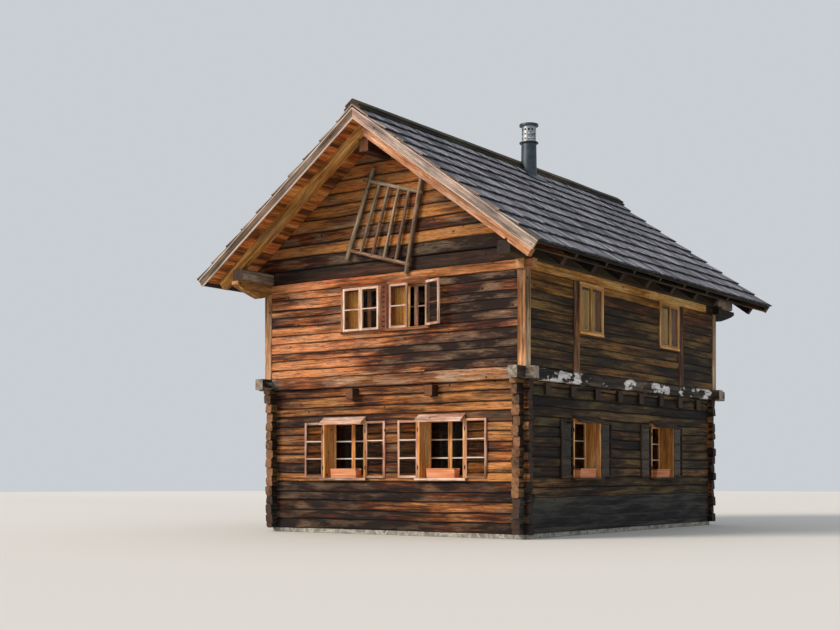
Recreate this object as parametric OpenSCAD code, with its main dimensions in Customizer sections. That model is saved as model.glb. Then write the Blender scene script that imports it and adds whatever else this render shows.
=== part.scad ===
// Alpine chalet: notched log ground floor, post-and-plank upper storey, shingled purlin roof.
// Millimetres. +X right, +Y to the back, +Z up. Origin: centre of the roof plan, underside of the plinth.

/* [Plan] */
// Outside width of the upper storey
house_w = 5900; // [5400:50:7000]
// Outside length of the upper storey
house_l = 8170; // [7600:50:10000]
// Set-back of the log storey behind the upper face
jetty = 90; // [60:10:130]

/* [Log storey] */
// Height of the stone plinth strips
plinth_h = 80; // [50:10:200]
// Width of the plinth strips
plinth_w = 320; // [260:10:400]
// Plinth face behind the log face
plinth_inset = 15; // [0:5:40]
// Thickness of a log
log_t = 140; // [110:5:180]
// Number of front courses
log_courses = 15; // [10:1:20]
// Underside of the sill beams
sill_z = 2740; // [2500:10:3000]
// Chamfer of a log edge
log_edge = 20; // [8:2:30]
// Uneven course heights, plus or minus
course_vary = 9; // [0:1:14]
// Side wall logs past the front log face
side_head = 170; // [120:5:220]
// Further length of the two topmost heads, under the sills
top_head = 70; // [0:5:100]
// Front wall logs past the side log face
front_head = 115; // [80:5:150]
// Uneven head lengths, plus or minus
head_vary = 18; // [0:1:25]
// Thickness of the inner wall build-up, log storey
low_lining_t = 170; // [120:10:220]

/* [Floors] */
// Thickness of the ground floor deck
floor_t = 120; // [80:5:140]
// Depth of the joists and the two long beams
joist_h = 200; // [160:10:220]
// Width of a joist
joist_w = 190; // [120:10:220]
// Number of cross joists
joist_count = 8; // [5:1:9]
// Cross joists past the side log face
joist_head = 55; // [10:5:80]
// Width of the two long beams
beam_w = 170; // [140:5:200]
// Long beams past the front and rear log faces
beam_head = 200; // [120:10:260]
// Bevel along the edges of beams and of the ridge purlin
beam_edge = 10; // [4:2:16]
// Centre of the left long beam
beam_left_x = -775; // [-1000:5:-700]
// Centre of the right long beam
beam_right_x = 1010; // [900:5:1200]
// Thickness of the upper floor boards
board_t = 40; // [30:5:60]

/* [Upper storey] */
// Height of the sill beams
sill_h = 210; // [160:10:240]
// Width of the sill beams
sill_w = 180; // [175:5:220]
// Bevel along the edges of the sills
sill_edge = 14; // [6:2:20]
// Front and rear sills past the side face
sill_head_x = 160; // [100:10:220]
// Side sills past the front face
sill_head_front = 280; // [150:5:320]
// Side sills past the rear face
sill_head_rear = 500; // [200:10:600]
// Underside of the tie beams and wall plates
tie_z = 4610; // [4550:10:4800]
// Height of the tie beams and wall plates
tie_h = 160; // [140:5:190]
// Tie beams past the side face
tie_head = 140; // [100:5:170]
// Corner post along X
post_x = 160; // [150:5:190]
// Corner post along Y
post_y = 170; // [160:5:200]
// Width of the posts in the side walls
side_post_w = 210; // [160:5:240]
// Centre of the front one of them
side_post_front_y = -2325; // [-2450:5:-2200]
// Centre of the rear one of them
side_post_rear_y = 2220; // [2150:5:2400]
// Number of plank courses
plank_courses = 10; // [8:1:12]
// Thickness of the planks
plank_t = 100; // [80:5:110]
// Plank face behind the post face
plank_inset = 20; // [10:2:30]
// Chamfer of a plank edge
plank_edge = 14; // [6:2:20]
// Depth of the groove in a post
groove_d = 40; // [25:5:50]
// Width of that groove
groove_w = 50; // [40:5:60]
// Thickness of the inner wall build-up, upper storey
up_lining_t = 130; // [90:10:170]
// Length of the drip board on the front sill
drip_l = 1900; // [1500:50:2400]
// Its centre
drip_x = -80; // [-300:10:300]
// Its thickness
drip_t = 25; // [15:5:40]
// Drip board past the post face
drip_out = 30; // [15:5:60]

/* [Windows below] */
// Height of the window sills
low_sill_z = 1000; // [900:10:1100]
// Height of the openings
low_win_h = 1130; // [1000:10:1250]
// Width of the front and rear openings
low_front_w = 1010; // [900:10:1060]
// Width of the side openings
low_side_w = 1050; // [900:10:1150]
// Centre of the left front opening
low_left_x = -1030; // [-1080:5:-1000]
// Centre of the right front opening
low_right_x = 1175; // [1150:5:1250]
// Centre of the front one of each side
low_side_front_y = -1820; // [-1950:5:-1700]
// Centre of the rear one of each side
low_side_rear_y = 1415; // [1300:5:1500]
// Centre of the window in the rear wall
low_rear_x = 1100; // [1000:10:1300]
// Thickness of the box lining boards
casing_t = 40; // [30:5:50]
// Box lining past the log face
casing_out = 38; // [30:2:60]
// Width of an outer casement
leaf_w = 450; // [380:10:460]
// Sill board past the box lining, each way
sill_ear = 45; // [20:5:70]
// Thickness of the sill board
sill_board_t = 45; // [30:5:60]
// Sill board past the log face
sill_board_out = 95; // [60:5:130]
// Hood board past the log face
hood_out = 170; // [100:10:200]
// Thickness of the hood board
hood_t = 25; // [18:1:35]
// Fall of the hood board, degrees
hood_fall = 34; // [15:1:40]
// Length of a window box
box_l = 600; // [400:20:700]
// Height of a window box
box_h = 170; // [140:5:200]
// Depth of a window box at its rim
box_d = 180; // [150:5:200]
// Half width of a window box at its foot
box_foot = 76; // [60:2:80]
// Centre of a window box behind the wall face
box_in = 30; // [20:2:50]
// Height of the lip of a window box, and depth of its soil
lip_h = 20; // [14:1:30]
// Lip past the sides of a window box
lip_out = 6; // [3:1:10]
// Wall of a window box
box_wall = 9; // [7:1:14]

/* [Windows above] */
// Width of the front and rear openings
up_front_w = 925; // [850:5:950]
// Centre of the left front opening
up_left_x = -585; // [-620:5:-560]
// Centre of the right front opening
up_right_x = 490; // [470:5:560]
// Height of the front openings, up to the tie beam
up_front_h = 890; // [750:10:980]
// Width of the side openings, each against its post
up_side_w = 940; // [800:10:1000]
// Height of the side openings, up to the wall plate
up_side_h = 945; // [750:10:1000]
// Thickness of the frame boards
frame_t = 45; // [35:5:55]
// Front frame boards past the post face
frame_out = 12; // [6:2:30]
// Nose of the upper window sills past their frames
nose = 14; // [8:1:24]
// Open leaf: angle from its closed place
leaf_angle = 160; // [120:5:172]
// Width of a notch in the post between the front windows
tooth_w = 50; // [30:5:70]
// Height of a notch
tooth_h = 25; // [15:1:35]
// Depth of a notch
tooth_d = 18; // [10:1:25]
// Face of that post past the posts' face
tooth_out = 6; // [2:1:10]
// Number of teeth on that post
tooth_count = 9; // [5:1:14]

/* [Sashes] */
// Width of the sash members
sash_w = 42; // [30:2:55]
// Thickness of a sash
sash_t = 34; // [25:1:40]
// Width of a glazing bar
bar_w = 22; // [15:1:30]
// Inner sashes in front of the inner wall face
inner_back = 20; // [0:5:40]
// Thickness of the glass
glass_t = 4; // [3:1:6]

/* [Back door] */
// Centre of the door in the rear wall
door_x = -1100; // [-1300:10:-1000]
// Width of the opening
door_w = 1000; // [850:10:1050]
// Height of the opening above the floor
door_h = 1960; // [1850:10:2050]
// Thickness of the door leaf
door_t = 60; // [40:5:70]
// Door leaf behind the wall face
door_in = 20; // [10:2:40]

/* [Roof] */
// Height of the shingle plane at the ridge
apex_z = 7650; // [7600:10:7700]
// Half the width over the eaves
eave_x = 3830; // [3700:10:3950]
// Roof past the front face
front_overhang = 1000; // [800:10:1200]
// Roof past the rear face
rear_overhang = 1100; // [800:10:1300]
// Number of shingle courses on a slope
shingle_courses = 10; // [8:1:12]
// Thickness of the shingle coat at a butt
shingle_t = 60; // [50:5:80]
// Step of a shingle butt
butt_t = 38; // [25:1:45]
// Depth of the battens
batten_h = 50; // [40:5:60]
// Width of the battens
batten_w = 60; // [40:5:80]
// Depth of the counter battens over the rafters
counter_h = 70; // [50:5:90]
// Set-back of the boards and battens from the shingles' eave edge
eave_back = 70; // [50:5:90]
// Thickness of the roof boards
deck_t = 30; // [24:1:40]
// Depth of a rafter
rafter_h = 200; // [180:5:220]
// Width of a rafter
rafter_w = 120; // [90:5:140]
// Length of a rafter along its top
rafter_l = 4350; // [4200:10:4450]
// Spacing of the rafters
rafter_pitch = 1100; // [900:10:1200]
// First rafter behind the front face
rafter_first = 440; // [350:10:500]
// Number of rafter pairs over the rooms
rafter_count = 7; // [5:1:8]
// Flying rafters behind the verge
fly_inset = 300; // [250:10:350]
// Width of an eave purlin
purlin_w = 250; // [220:5:260]
// Height of an eave purlin
purlin_h = 230; // [220:5:250]
// Bevel along the edges of the eave purlins
purlin_edge = 24; // [10:2:30]
// Outer face of an eave purlin past the wall face
purlin_out = 70; // [40:5:80]
// Purlin ends behind the verge, ridge and rear
purlin_end = 330; // [310:10:390]
// Front end of the left eave purlin behind the verge
purlin_left = 170; // [140:10:390]
// Front end of the right eave purlin behind the verge
purlin_right = 380; // [310:10:390]
// Width of the ridge purlin
ridge_w = 200; // [160:5:220]
// Height of the ridge purlin
ridge_h = 240; // [200:5:260]
// Ridge purlin let into the rafters' underside
ridge_seat = 30; // [15:5:50]
// Rafters' seat over the outer edge of the eave purlins
rafter_seat = 51; // [40:1:60]
// Wall plate corbels behind the verge
corbel_end = 60; // [50:10:160]
// Front end of the right wall plate, with no corbel, before the wall face
plate_head = 60; // [30:5:120]
// Lowest point of a corbel in front of the wall face
corbel_foot = 290; // [200:10:400]
// Corbels below the tie beam at that point
corbel_drop = 110; // [60:5:140]
// Nose of a corbel, half way back to the wall, below the tie beam
corbel_nose = 75; // [30:5:100]
// Depth of a corbel at its end, as a share of the plate's
corbel_share = 0.4; // [0.3:0.05:0.6]
// Thickness of the barge boards
barge_t = 30; // [22:1:40]
// Depth of the barge boards
barge_h = 158; // [140:2:170]
// Barge boards short of the shingles' eave edge
barge_back = 40; // [30:5:60]
// Width of the lower ridge board
cap_w = 210; // [160:10:260]
// Thickness of a ridge board
cap_t = 35; // [25:1:40]
// Width of the upper ridge board, as a share of the lower one's
cap_share = 0.7; // [0.6:0.05:0.85]

/* [Gables] */
// Height of the foot log over the tie beam
foot_h = 260; // [235:5:300]
// Foot log behind the post face
foot_inset = 55; // [30:5:80]
// Thickness of the gable logs
gable_t = 130; // [100:5:150]
// Bevel along the edges of the gable logs
gable_edge = 18; // [8:2:26]
// Clearance between the gable logs' ends and the roof boards
gable_gap = 8; // [5:1:20]
// Number of gable courses
gable_courses = 9; // [7:1:10]
// Top of the last gable course below the apex
gable_drop = 590; // [550:10:700]

/* [Hay rack] */
// Radius of the two rails
rail_r = 42; // [30:1:50]
// Radius of the two cross bars
cross_r = 33; // [24:1:40]
// Radius of the spindles
spindle_r = 30; // [20:1:36]
// Number of spindles between the rails
spindle_count = 4; // [3:1:6]
// Upper end of the left rail, along X
rack_left_top_x = -250; // [-300:10:-200]
// Upper end of the left rail, height, as a share of the gable's
rack_left_top_share = 0.677; // [0.65:0.001:0.69]
// Lower end of the left rail, along X
rack_left_foot_x = -880; // [-920:10:-840]
// Lower end of the left rail, height, as a share of the gable's
rack_left_foot_share = 0.115; // [0.1:0.001:0.13]
// Upper end of the right rail, along X
rack_right_top_x = 820; // [780:10:860]
// Upper end of the right rail, height, as a share of the gable's
rack_right_top_share = 0.5625; // [0.545:0.0005:0.577]
// Lower end of the right rail, along X
rack_right_foot_x = 480; // [450:10:510]
// Lower end of the right rail, height, as a share of the gable's
rack_right_foot_share = -0.017; // [-0.03:0.001:-0.006]

// Upper cross bar, as a share of the rails from their top
cross_top_share = 0.14; // [0.1:0.01:0.2]
// Lower cross bar, as a share of the rails from their top
cross_foot_share = 0.9; // [0.82:0.01:0.94]
// Spindles past the middle of the cross bars
spindle_past = 35; // [20:5:45]
// Cross bars past the rails
cross_past = 60; // [30:5:90]
// Upper pegs into the gable, as a share of the rails from their top
peg_top_share = 0.2; // [0.18:0.01:0.3]
// Lower peg into the gable, as a share of the rail from its top
peg_foot_share = 0.85; // [0.75:0.01:0.88]
// Radius of the pegs
peg_r = 18; // [12:1:24]

/* [Chimney] */
// Centre along X
flue_x = 230; // [200:10:320]
// Centre along Y
flue_y = 575; // [400:10:700]
// Radius at the foot of the pipe
flue_r = 175; // [140:5:200]
// Radius at the head of the pipe
flue_top_r = 158; // [130:2:170]
// Top of the pipe over the apex
flue_rise = 420; // [300:10:550]
// Wall of the pipe
flue_wall = 6; // [3:1:12]
// Height of the slotted cowl
cowl_h = 360; // [280:10:420]
// Radius of the cowl
cowl_r = 150; // [130:1:156]
// Radius of the two cowl discs
disc_r = 200; // [180:5:220]
// Thickness of the cap disc
disc_t = 40; // [20:2:50]
// Number of slots round the cowl, in each row
slot_count = 12; // [8:1:16]
// Width of a slot
slot_w = 36; // [24:2:44]
// Rows of slots
slot_rows = 3; // [2:1:4]
// Height of a slot, as a share of the pitch of the rows
slot_share = 0.45; // [0.3:0.05:0.6]

/* [Hidden] */
$fn = 48;

// Gap between like pieces that share a node
seam = 0.5;
// Clearance of a piece in its seat, each side
fit = 0.3;

half_w = house_w / 2;
roof_l = house_l + front_overhang + rear_overhang;
verge = roof_l / 2;
y_front = front_overhang - verge;
y_rear = verge - rear_overhang;
log_x = half_w - jetty;
log_front = y_front + jetty;
log_rear = y_rear - jetty;
floor_z = plinth_h + floor_t;
joist_top = sill_z - board_t;
joist_z = joist_top - joist_h;
lap_z = joist_z + joist_h / 2;
wall_z = sill_z + sill_h;
plate_top = tie_z + tie_h;
low_depth = log_t + low_lining_t;
up_depth = sill_w + up_lining_t;
purlin_top = plate_top + purlin_h;
deck_d = shingle_t + batten_h + counter_h;
rafter_d = deck_d + deck_t;
// Slope at which rafters seated on the eave purlins meet under the apex
roof_rise = apex_z - purlin_top + rafter_seat;
roof_run = half_w + purlin_out;
pitch = acos((rafter_d + rafter_h) / norm([roof_rise, roof_run])) - atan2(roof_run, roof_rise);
slope_l = eave_x / cos(pitch);
gable_top_z = apex_z - gable_drop;
flue_z = apex_z + flue_rise;
tongue_a = plank_inset + plank_t / 2 - groove_w / 2;
tongue_b = plank_inset + plank_t / 2 + groove_w / 2;
verge_in = verge - barge_t - seam;
fly_front = -verge + fly_inset;
fly_rear = verge - fly_inset - rafter_w;
ridge_top = apex_z - (rafter_d + rafter_h) / cos(pitch) - ridge_w / 2 * tan(pitch) + ridge_seat;
mid_post_w = up_right_x - up_left_x - up_front_w;

// Openings below: side, centre along the wall, width
low_windows = [
  ["front", low_left_x, low_front_w], ["front", low_right_x, low_front_w],
  ["right", low_side_front_y, low_side_w], ["right", low_side_rear_y, low_side_w],
  ["left", low_side_front_y, low_side_w], ["left", low_side_rear_y, low_side_w],
  ["back", low_rear_x, low_front_w]
];
up_side_front_y = side_post_front_y + side_post_w / 2 + up_side_w / 2 + seam;
up_side_rear_y = side_post_rear_y - side_post_w / 2 - up_side_w / 2 - seam;
// Openings above: side, centre, width, height, angles of the two leaves, bars of a leaf
up_windows = [
  ["front", up_left_x, up_front_w, up_front_h, [0, 0], 1],
  ["front", up_right_x, up_front_w, up_front_h, [0, leaf_angle], 1],
  ["back", up_left_x, up_front_w, up_front_h, [0, 0], 1],
  ["back", up_right_x, up_front_w, up_front_h, [0, 0], 1],
  ["right", up_side_front_y, up_side_w, up_side_h, [0, 0], 0],
  ["right", up_side_rear_y, up_side_w, up_side_h, [0, 0], 0],
  ["left", up_side_front_y, up_side_w, up_side_h, [0, 0], 0],
  ["left", up_side_rear_y, up_side_w, up_side_h, [0, 0], 0]
];

// Height of the joint below front course k, uneven but the same each time
function course_z(k) = plinth_h + (sill_z - plinth_h) * k / log_courses
  + (k > 0 && k < log_courses ? course_vary * sin(k * 157) : 0);
function course_mid(k) = (course_z(k) + course_z(k + 1)) / 2;
// Joints of the side wall courses: halves at foot and head, staggered between
function side_z(k) = k == 0 ? plinth_h : k == log_courses + 1 ? sill_z : course_mid(k - 1);
function plank_z(k) = wall_z + (tie_z - wall_z) * k / plank_courses
  + (k > 0 && k < plank_courses ? 1.6 * course_vary * sin(k * 211) : 0);
function gable_z(k) = plate_top + foot_h + (gable_top_z - plate_top - foot_h) * k / gable_courses
  + (k > 0 && k < gable_courses ? course_vary * sin(k * 97) : 0);
function uneven(k, s) = head_vary * sin(k * 131 + s * 77);
// A point of the right slope: s down the slope from the apex, d below the shingle plane
function slope_p(s, d) = [s * cos(pitch) - d * sin(pitch), apex_z - s * sin(pitch) - d * cos(pitch)];
// Distance down the slope of the plumb ridge cut at depth d
function ridge_s(d) = (seam / 2 + d * sin(pitch)) / cos(pitch);
// Half width of the roof boards' underside at height z
function soffit_x(z) = (apex_z - rafter_d / cos(pitch) - z) / tan(pitch);
function section(a, t, z0, z1, c) = [
  [a, z0 + c], [a + c, z0], [a + t - c, z0], [a + t, z0 + c],
  [a + t, z1 - c], [a + t - c, z1], [a + c, z1], [a, z1 - c]
];

// Extrudes a profile drawn in Y and Z along X
module along_x(x0, x1) {
  translate([x0, 0, 0]) rotate([90, 0, 90]) linear_extrude(x1 - x0) children();
}
// Extrudes a profile drawn in X and Z along Y
module along_y(y0, y1) {
  translate([0, y1, 0]) rotate([90, 0, 0]) linear_extrude(y1 - y0) children();
}
module box(a, b) {
  translate(a) cube(b - a);
}
// A place on a wall face: X runs along the wall, -Y points outwards
module on_wall(side, c, z, inset = 0) {
  if (side == "front") translate([c, y_front + inset, z]) children();
  if (side == "back") translate([c, y_rear - inset, z]) rotate([0, 0, 180]) children();
  if (side == "right") translate([half_w - inset, c, z]) rotate([0, 0, 90]) children();
  if (side == "left") translate([inset - half_w, c, z]) rotate([0, 0, -90]) children();
}
module mirror_x() {
  children();
  mirror([1, 0, 0]) children();
}

// Log storey
module low_openings() {
  for (w = low_windows)
    on_wall(w[0], w[1], low_sill_z - fit, jetty)
      box([-w[2] / 2 - fit, -2 * front_head, 0], [w[2] / 2 + fit, 2 * low_depth, low_win_h + 2 * fit]);
  on_wall("back", door_x, floor_z - fit, jetty)
    box([-door_w / 2 - fit, -2 * front_head, 0], [door_w / 2 + fit, 2 * low_depth, door_h + 2 * fit]);
}
module beam_pockets() {
  for (x = [beam_left_x, beam_right_x])
    box([x - beam_w / 2 - fit, -verge, joist_z - fit], [x + beam_w / 2 + fit, verge, joist_top + fit]);
}
module joist_pockets() {
  for (k = [0:joist_count - 1])
    box([-eave_x, joist_y(k) - joist_w / 2 - fit, joist_z - fit],
      [eave_x, joist_y(k) + joist_w / 2 + fit, joist_top + fit]);
}
function joist_y(k) = log_front + log_t + low_lining_t
  + (log_rear - log_front - 2 * log_t - 2 * low_lining_t) * (k + 0.5) / joist_count;

module cross_log(k, y0, s) {
  low = (course_z(k) + course_mid(k)) / 2;
  high = (course_mid(k) + course_z(k + 1)) / 2;
  end = log_x + front_head + uneven(k, s);
  difference() {
    along_x(-end, end)
      polygon(section(y0, log_t, course_z(k) + seam / 2, course_z(k + 1) - seam / 2, log_edge));
    mirror_x() {
      box([log_x - log_t - fit, y0 - 1, course_z(k) - 1], [log_x + fit, y0 + log_t + 1, low + fit]);
      box([log_x - log_t - fit, y0 - 1, high - fit], [log_x + fit, y0 + log_t + 1, course_z(k + 1) + 1]);
    }
  }
}
module side_log(k) {
  z0 = side_z(k);
  z1 = side_z(k + 1);
  keep0 = k == 0 ? z0 : (course_mid(k - 1) + course_z(k)) / 2;
  keep1 = k == log_courses ? z1 : (course_z(k) + course_mid(k)) / 2;
  more = k < log_courses - 1 ? 0 : top_head;
  y0 = log_front - side_head - uneven(k, 3) - more;
  y1 = log_rear + side_head + uneven(k, 5) + more;
  difference() {
    along_y(y0, y1) polygon(section(log_x - log_t, log_t, z0 + seam / 2, z1 - seam / 2, log_edge));
    for (y = [log_front, log_rear - log_t]) {
      if (k > 0)
        box([0, y - fit, z0 - 1], [half_w, y + log_t + fit, keep0 + fit]);
      if (k < log_courses)
        box([0, y - fit, keep1 - fit], [half_w, y + log_t + fit, z1 + 1]);
    }
  }
}
module cross_log_wall(y0, s) {
  difference() {
    for (k = [0:log_courses - 1]) cross_log(k, y0, s);
    low_openings();
    beam_pockets();
  }
}
module side_log_wall() {
  difference() {
    for (k = [0:log_courses]) side_log(k);
    low_openings();
    joist_pockets();
  }
}
module plinth() {
  x1 = log_x - plinth_inset;
  y0 = log_front + plinth_inset;
  y1 = log_rear - plinth_inset;
  color("#8d8880") {
    box([-x1, y0, 0], [x1, y0 + plinth_w, plinth_h]);
    box([-x1, y1 - plinth_w, 0], [x1, y1, plinth_h]);
    mirror_x() box([x1 - plinth_w, y0 + plinth_w + seam, 0], [x1, y1 - plinth_w - seam, plinth_h]);
  }
}
module floors() {
  x = log_x - log_t - fit;
  color("#a98a63") for (z = [[plinth_h, floor_z], [joist_top, sill_z]])
    box([-x, log_front + log_t + fit, z[0]], [x, log_rear - log_t - fit, z[1]]);
}
module front_log_wall() {
  color("#7b3f20") cross_log_wall(log_front, 1);
}
module back_log_wall() {
  color("#5e3a22") cross_log_wall(log_rear - log_t, 2);
}
module left_log_wall() {
  color("#4a3323") mirror([1, 0, 0]) side_log_wall();
}
module right_log_wall() {
  color("#3d2c20") side_log_wall();
}
// Panels of one wall between a and b, left out where the openings are
module panels(a, b, z0, z1, t, holes, i = 0) {
  if (i == len(holes)) {
    box([a, 0, z0], [b, t, z1]);
  } else {
    h = holes[i];
    box([a, 0, z0], [h[0] - fit, t, z1]);
    if (h[2] > z0 + 1) box([h[0] - fit + seam, 0, z0], [h[1] + fit - seam, t, h[2] - fit]);
    if (h[3] < z1 - 1) box([h[0] - fit + seam, 0, h[3] + fit], [h[1] + fit - seam, t, z1]);
    panels(h[1] + fit, b, z0, z1, t, holes, i + 1);
  }
}
function hole(c, w, z, h) = [c - w / 2, c + w / 2, z, z + h];
module lower_lining() {
  top = joist_z - fit;
  room_x = log_x - log_t - fit;
  corner_x = room_x - low_lining_t - seam;
  color("#c9a06a") {
    translate([0, log_front + log_t + fit, 0])
      panels(-corner_x, corner_x, floor_z, top, low_lining_t - fit, [
        hole(low_left_x, low_front_w, low_sill_z, low_win_h),
        hole(low_right_x, low_front_w, low_sill_z, low_win_h)
      ]);
    translate([0, log_rear - log_t - low_lining_t, 0])
      panels(-corner_x, corner_x, floor_z, top, low_lining_t - fit, [
        hole(door_x, door_w, floor_z, door_h),
        hole(low_rear_x, low_front_w, low_sill_z, low_win_h)
      ]);
    mirror_x() translate([room_x, 0, 0]) rotate([0, 0, 90])
      panels(log_front + log_t + fit, log_rear - log_t - fit, floor_z, top, low_lining_t, [
        hole(low_side_front_y, low_side_w, low_sill_z, low_win_h),
        hole(low_side_rear_y, low_side_w, low_sill_z, low_win_h)
      ]);
  }
}
// Floors: long beams and cross joists are lapped half and half
module floor_joists() {
  end = log_x + joist_head;
  color("#6b4a2e") difference() {
    for (k = [0:joist_count - 1])
      box([-end, joist_y(k) - joist_w / 2, joist_z], [end, joist_y(k) + joist_w / 2, joist_top]);
    for (x = [beam_left_x, beam_right_x])
      box([x - beam_w / 2 - fit, -verge, joist_z - 1], [x + beam_w / 2 + fit, verge, lap_z]);
  }
}
module long_beams() {
  color("#5a3a24") difference() {
    for (x = [beam_left_x, beam_right_x])
      along_y(log_front - beam_head, log_rear + beam_head)
        polygon(section(x - beam_w / 2, beam_w, joist_z, joist_top, beam_edge));
    for (k = [0:joist_count - 1])
      box([-eave_x, joist_y(k) - joist_w / 2 - fit, lap_z],
        [eave_x, joist_y(k) + joist_w / 2 + fit, joist_top + 1]);
  }
}

// Upper storey: sills lapped half and half, posts with grooves, planks with tongues
module cross_sills() {
  end = half_w + sill_head_x;
  color("#8a5a36") for (y = [y_front, y_rear - sill_w])
    difference() {
      along_x(-end, end) polygon(section(y, sill_w, sill_z, wall_z, sill_edge));
      mirror_x()
        box([half_w - sill_w - fit, y - 1, sill_z + sill_h / 2], [half_w + fit, y + sill_w + 1, wall_z + 1]);
    }
}
module side_sills() {
  color("#4f4034") mirror_x() difference() {
    along_y(y_front - sill_head_front, y_rear + sill_head_rear)
      polygon(section(half_w - sill_w, sill_w, sill_z, wall_z, sill_edge));
    for (y = [y_front, y_rear - sill_w])
      box([0, y - fit, sill_z - 1], [half_w + 1, y + sill_w + fit, sill_z + sill_h / 2]);
  }
}
// A loose board on the front sill, against the foot of the planks
module drip_board() {
  color("#c9a98a")
    box([drip_x - drip_l / 2, y_front - drip_out, wall_z],
      [drip_x + drip_l / 2, y_front + plank_inset - fit, wall_z + drip_t]);
}
module corner_posts() {
  for (s = [0, 1]) mirror_x() color("#9a6a4a") difference() {
    y0 = s == 0 ? y_front : y_rear - post_y;
    outer = s == 0 ? y_front : y_rear;
    dir = s == 0 ? 1 : -1;
    inner = s == 0 ? y_front + post_y : y_rear - post_y;
    box([half_w - post_x, y0, wall_z], [half_w, y0 + post_y, tie_z]);
    box([half_w - post_x - 1, min(outer + dir * tongue_a, outer + dir * tongue_b) - fit, wall_z - 1],
      [half_w - post_x + groove_d + fit,
        max(outer + dir * tongue_a, outer + dir * tongue_b) + fit, tie_z + 1]);
    box([half_w - tongue_b - fit, min(inner, inner - dir * (groove_d + fit)) - (s == 0 ? 0 : 1), wall_z - 1],
      [half_w - tongue_a + fit, max(inner, inner - dir * (groove_d + fit)) + (s == 0 ? 1 : 0), tie_z + 1]);
  }
}
module side_posts() {
  color("#6e4c30") mirror_x() for (y = [side_post_front_y, side_post_rear_y])
    difference() {
      box([half_w - post_y, y - side_post_w / 2, wall_z], [half_w, y + side_post_w / 2, tie_z]);
      for (d = [-1, 1])
        translate([0, y + d * side_post_w / 2, 0])
          box([half_w - tongue_b - fit, -groove_d - fit, wall_z - 1],
            [half_w - tongue_a + fit, groove_d + fit, tie_z + 1]);
    }
}
// Planks between a and b along X, face at y = 0
module plank_bay(a, b) {
  for (k = [0:plank_courses - 1]) {
    z0 = plank_z(k) + seam / 2;
    z1 = plank_z(k + 1) - seam / 2;
    along_x(a + fit, b - fit) polygon(section(plank_inset, plank_t, z0, z1, plank_edge));
    box([a - groove_d, tongue_a, z0 + plank_edge], [b + groove_d, tongue_b, z1 - plank_edge]);
  }
}
module up_openings() {
  for (w = up_windows)
    on_wall(w[0], w[1], tie_z - w[3] - fit)
      box([-w[2] / 2 - fit, -1, 0], [w[2] / 2 + fit, up_depth, w[3] + 2 * fit]);
}
module cross_planks() {
  difference() {
    plank_bay(post_x - half_w, half_w - post_x);
    box([up_left_x, -1, tie_z - up_front_h - fit], [up_right_x, up_depth, tie_z + 1]);
    for (x = [up_left_x, up_right_x])
      box([x - up_front_w / 2 - fit, -1, tie_z - up_front_h - fit],
        [x + up_front_w / 2 + fit, up_depth, tie_z + 1]);
  }
}
module side_planks() {
  a = side_post_front_y - side_post_w / 2;
  b = side_post_front_y + side_post_w / 2;
  c = side_post_rear_y - side_post_w / 2;
  d = side_post_rear_y + side_post_w / 2;
  difference() {
    translate([half_w, 0, 0]) rotate([0, 0, 90]) {
      plank_bay(y_front + post_y, a);
      plank_bay(b, c);
      plank_bay(d, y_rear - post_y);
    }
    up_openings();
  }
}
module front_planks() {
  color("#8a4a26") translate([0, y_front, 0]) cross_planks();
}
module back_planks() {
  color("#6a4128") translate([0, y_rear, 0]) mirror([0, 1, 0]) cross_planks();
}
module left_planks() {
  color("#4f3826") mirror([1, 0, 0]) side_planks();
}
module right_planks() {
  color("#3f2f22") side_planks();
}
module upper_lining() {
  x1 = half_w - sill_w - fit;
  corner_x = x1 - up_lining_t - seam;
  color("#c9a06a") {
    for (m = [0, 1]) mirror([0, m, 0])
      translate([0, (m == 0 ? y_front : -y_rear) + sill_w + fit, 0])
        panels(-corner_x, corner_x, sill_z, tie_z - fit, up_lining_t - fit, [
          hole(up_left_x, up_front_w, tie_z - up_front_h, up_front_h),
          hole(up_right_x, up_front_w, tie_z - up_front_h, up_front_h)
        ]);
    mirror_x() translate([x1, 0, 0]) rotate([0, 0, 90])
      panels(y_front + sill_w + fit, y_rear - sill_w - fit, sill_z, tie_z - fit, up_lining_t, [
        hole(up_side_front_y, up_side_w, tie_z - up_side_h, up_side_h),
        hole(up_side_rear_y, up_side_w, tie_z - up_side_h, up_side_h)
      ]);
  }
}
module tie_beams() {
  end = half_w + tie_head;
  color("#a0552c") for (y = [y_front, y_rear - post_y])
    difference() {
      along_x(-end, end) polygon(section(y, post_y, tie_z, plate_top, beam_edge));
      mirror_x()
        box([half_w - post_x - fit, y - 1, tie_z + tie_h / 2],
          [half_w + fit, y + post_y + 1, plate_top + 1]);
    }
}
function reverse(list) = [for (i = [len(list) - 1:-1:0]) list[i]];
// Underside of a corbel, from its tip (share 0) down to its lowest point (share 1)
function corbel_z(share) = plate_top - tie_h * corbel_share
  - (tie_h * (1 - corbel_share) + corbel_drop) * pow(share, 0.8);
// Outline of the underside of a corbel from tip y0 to the wall face y1
function corbel(y0, y1) = let (foot = y1 - sign(y1 - y0) * corbel_foot) concat(
  [for (i = [0:6]) [y0 + (foot - y0) * i / 6, corbel_z(i / 6)]],
  [[(foot + y1) / 2, tie_z - corbel_nose], [y1, tie_z]]
);
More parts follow.
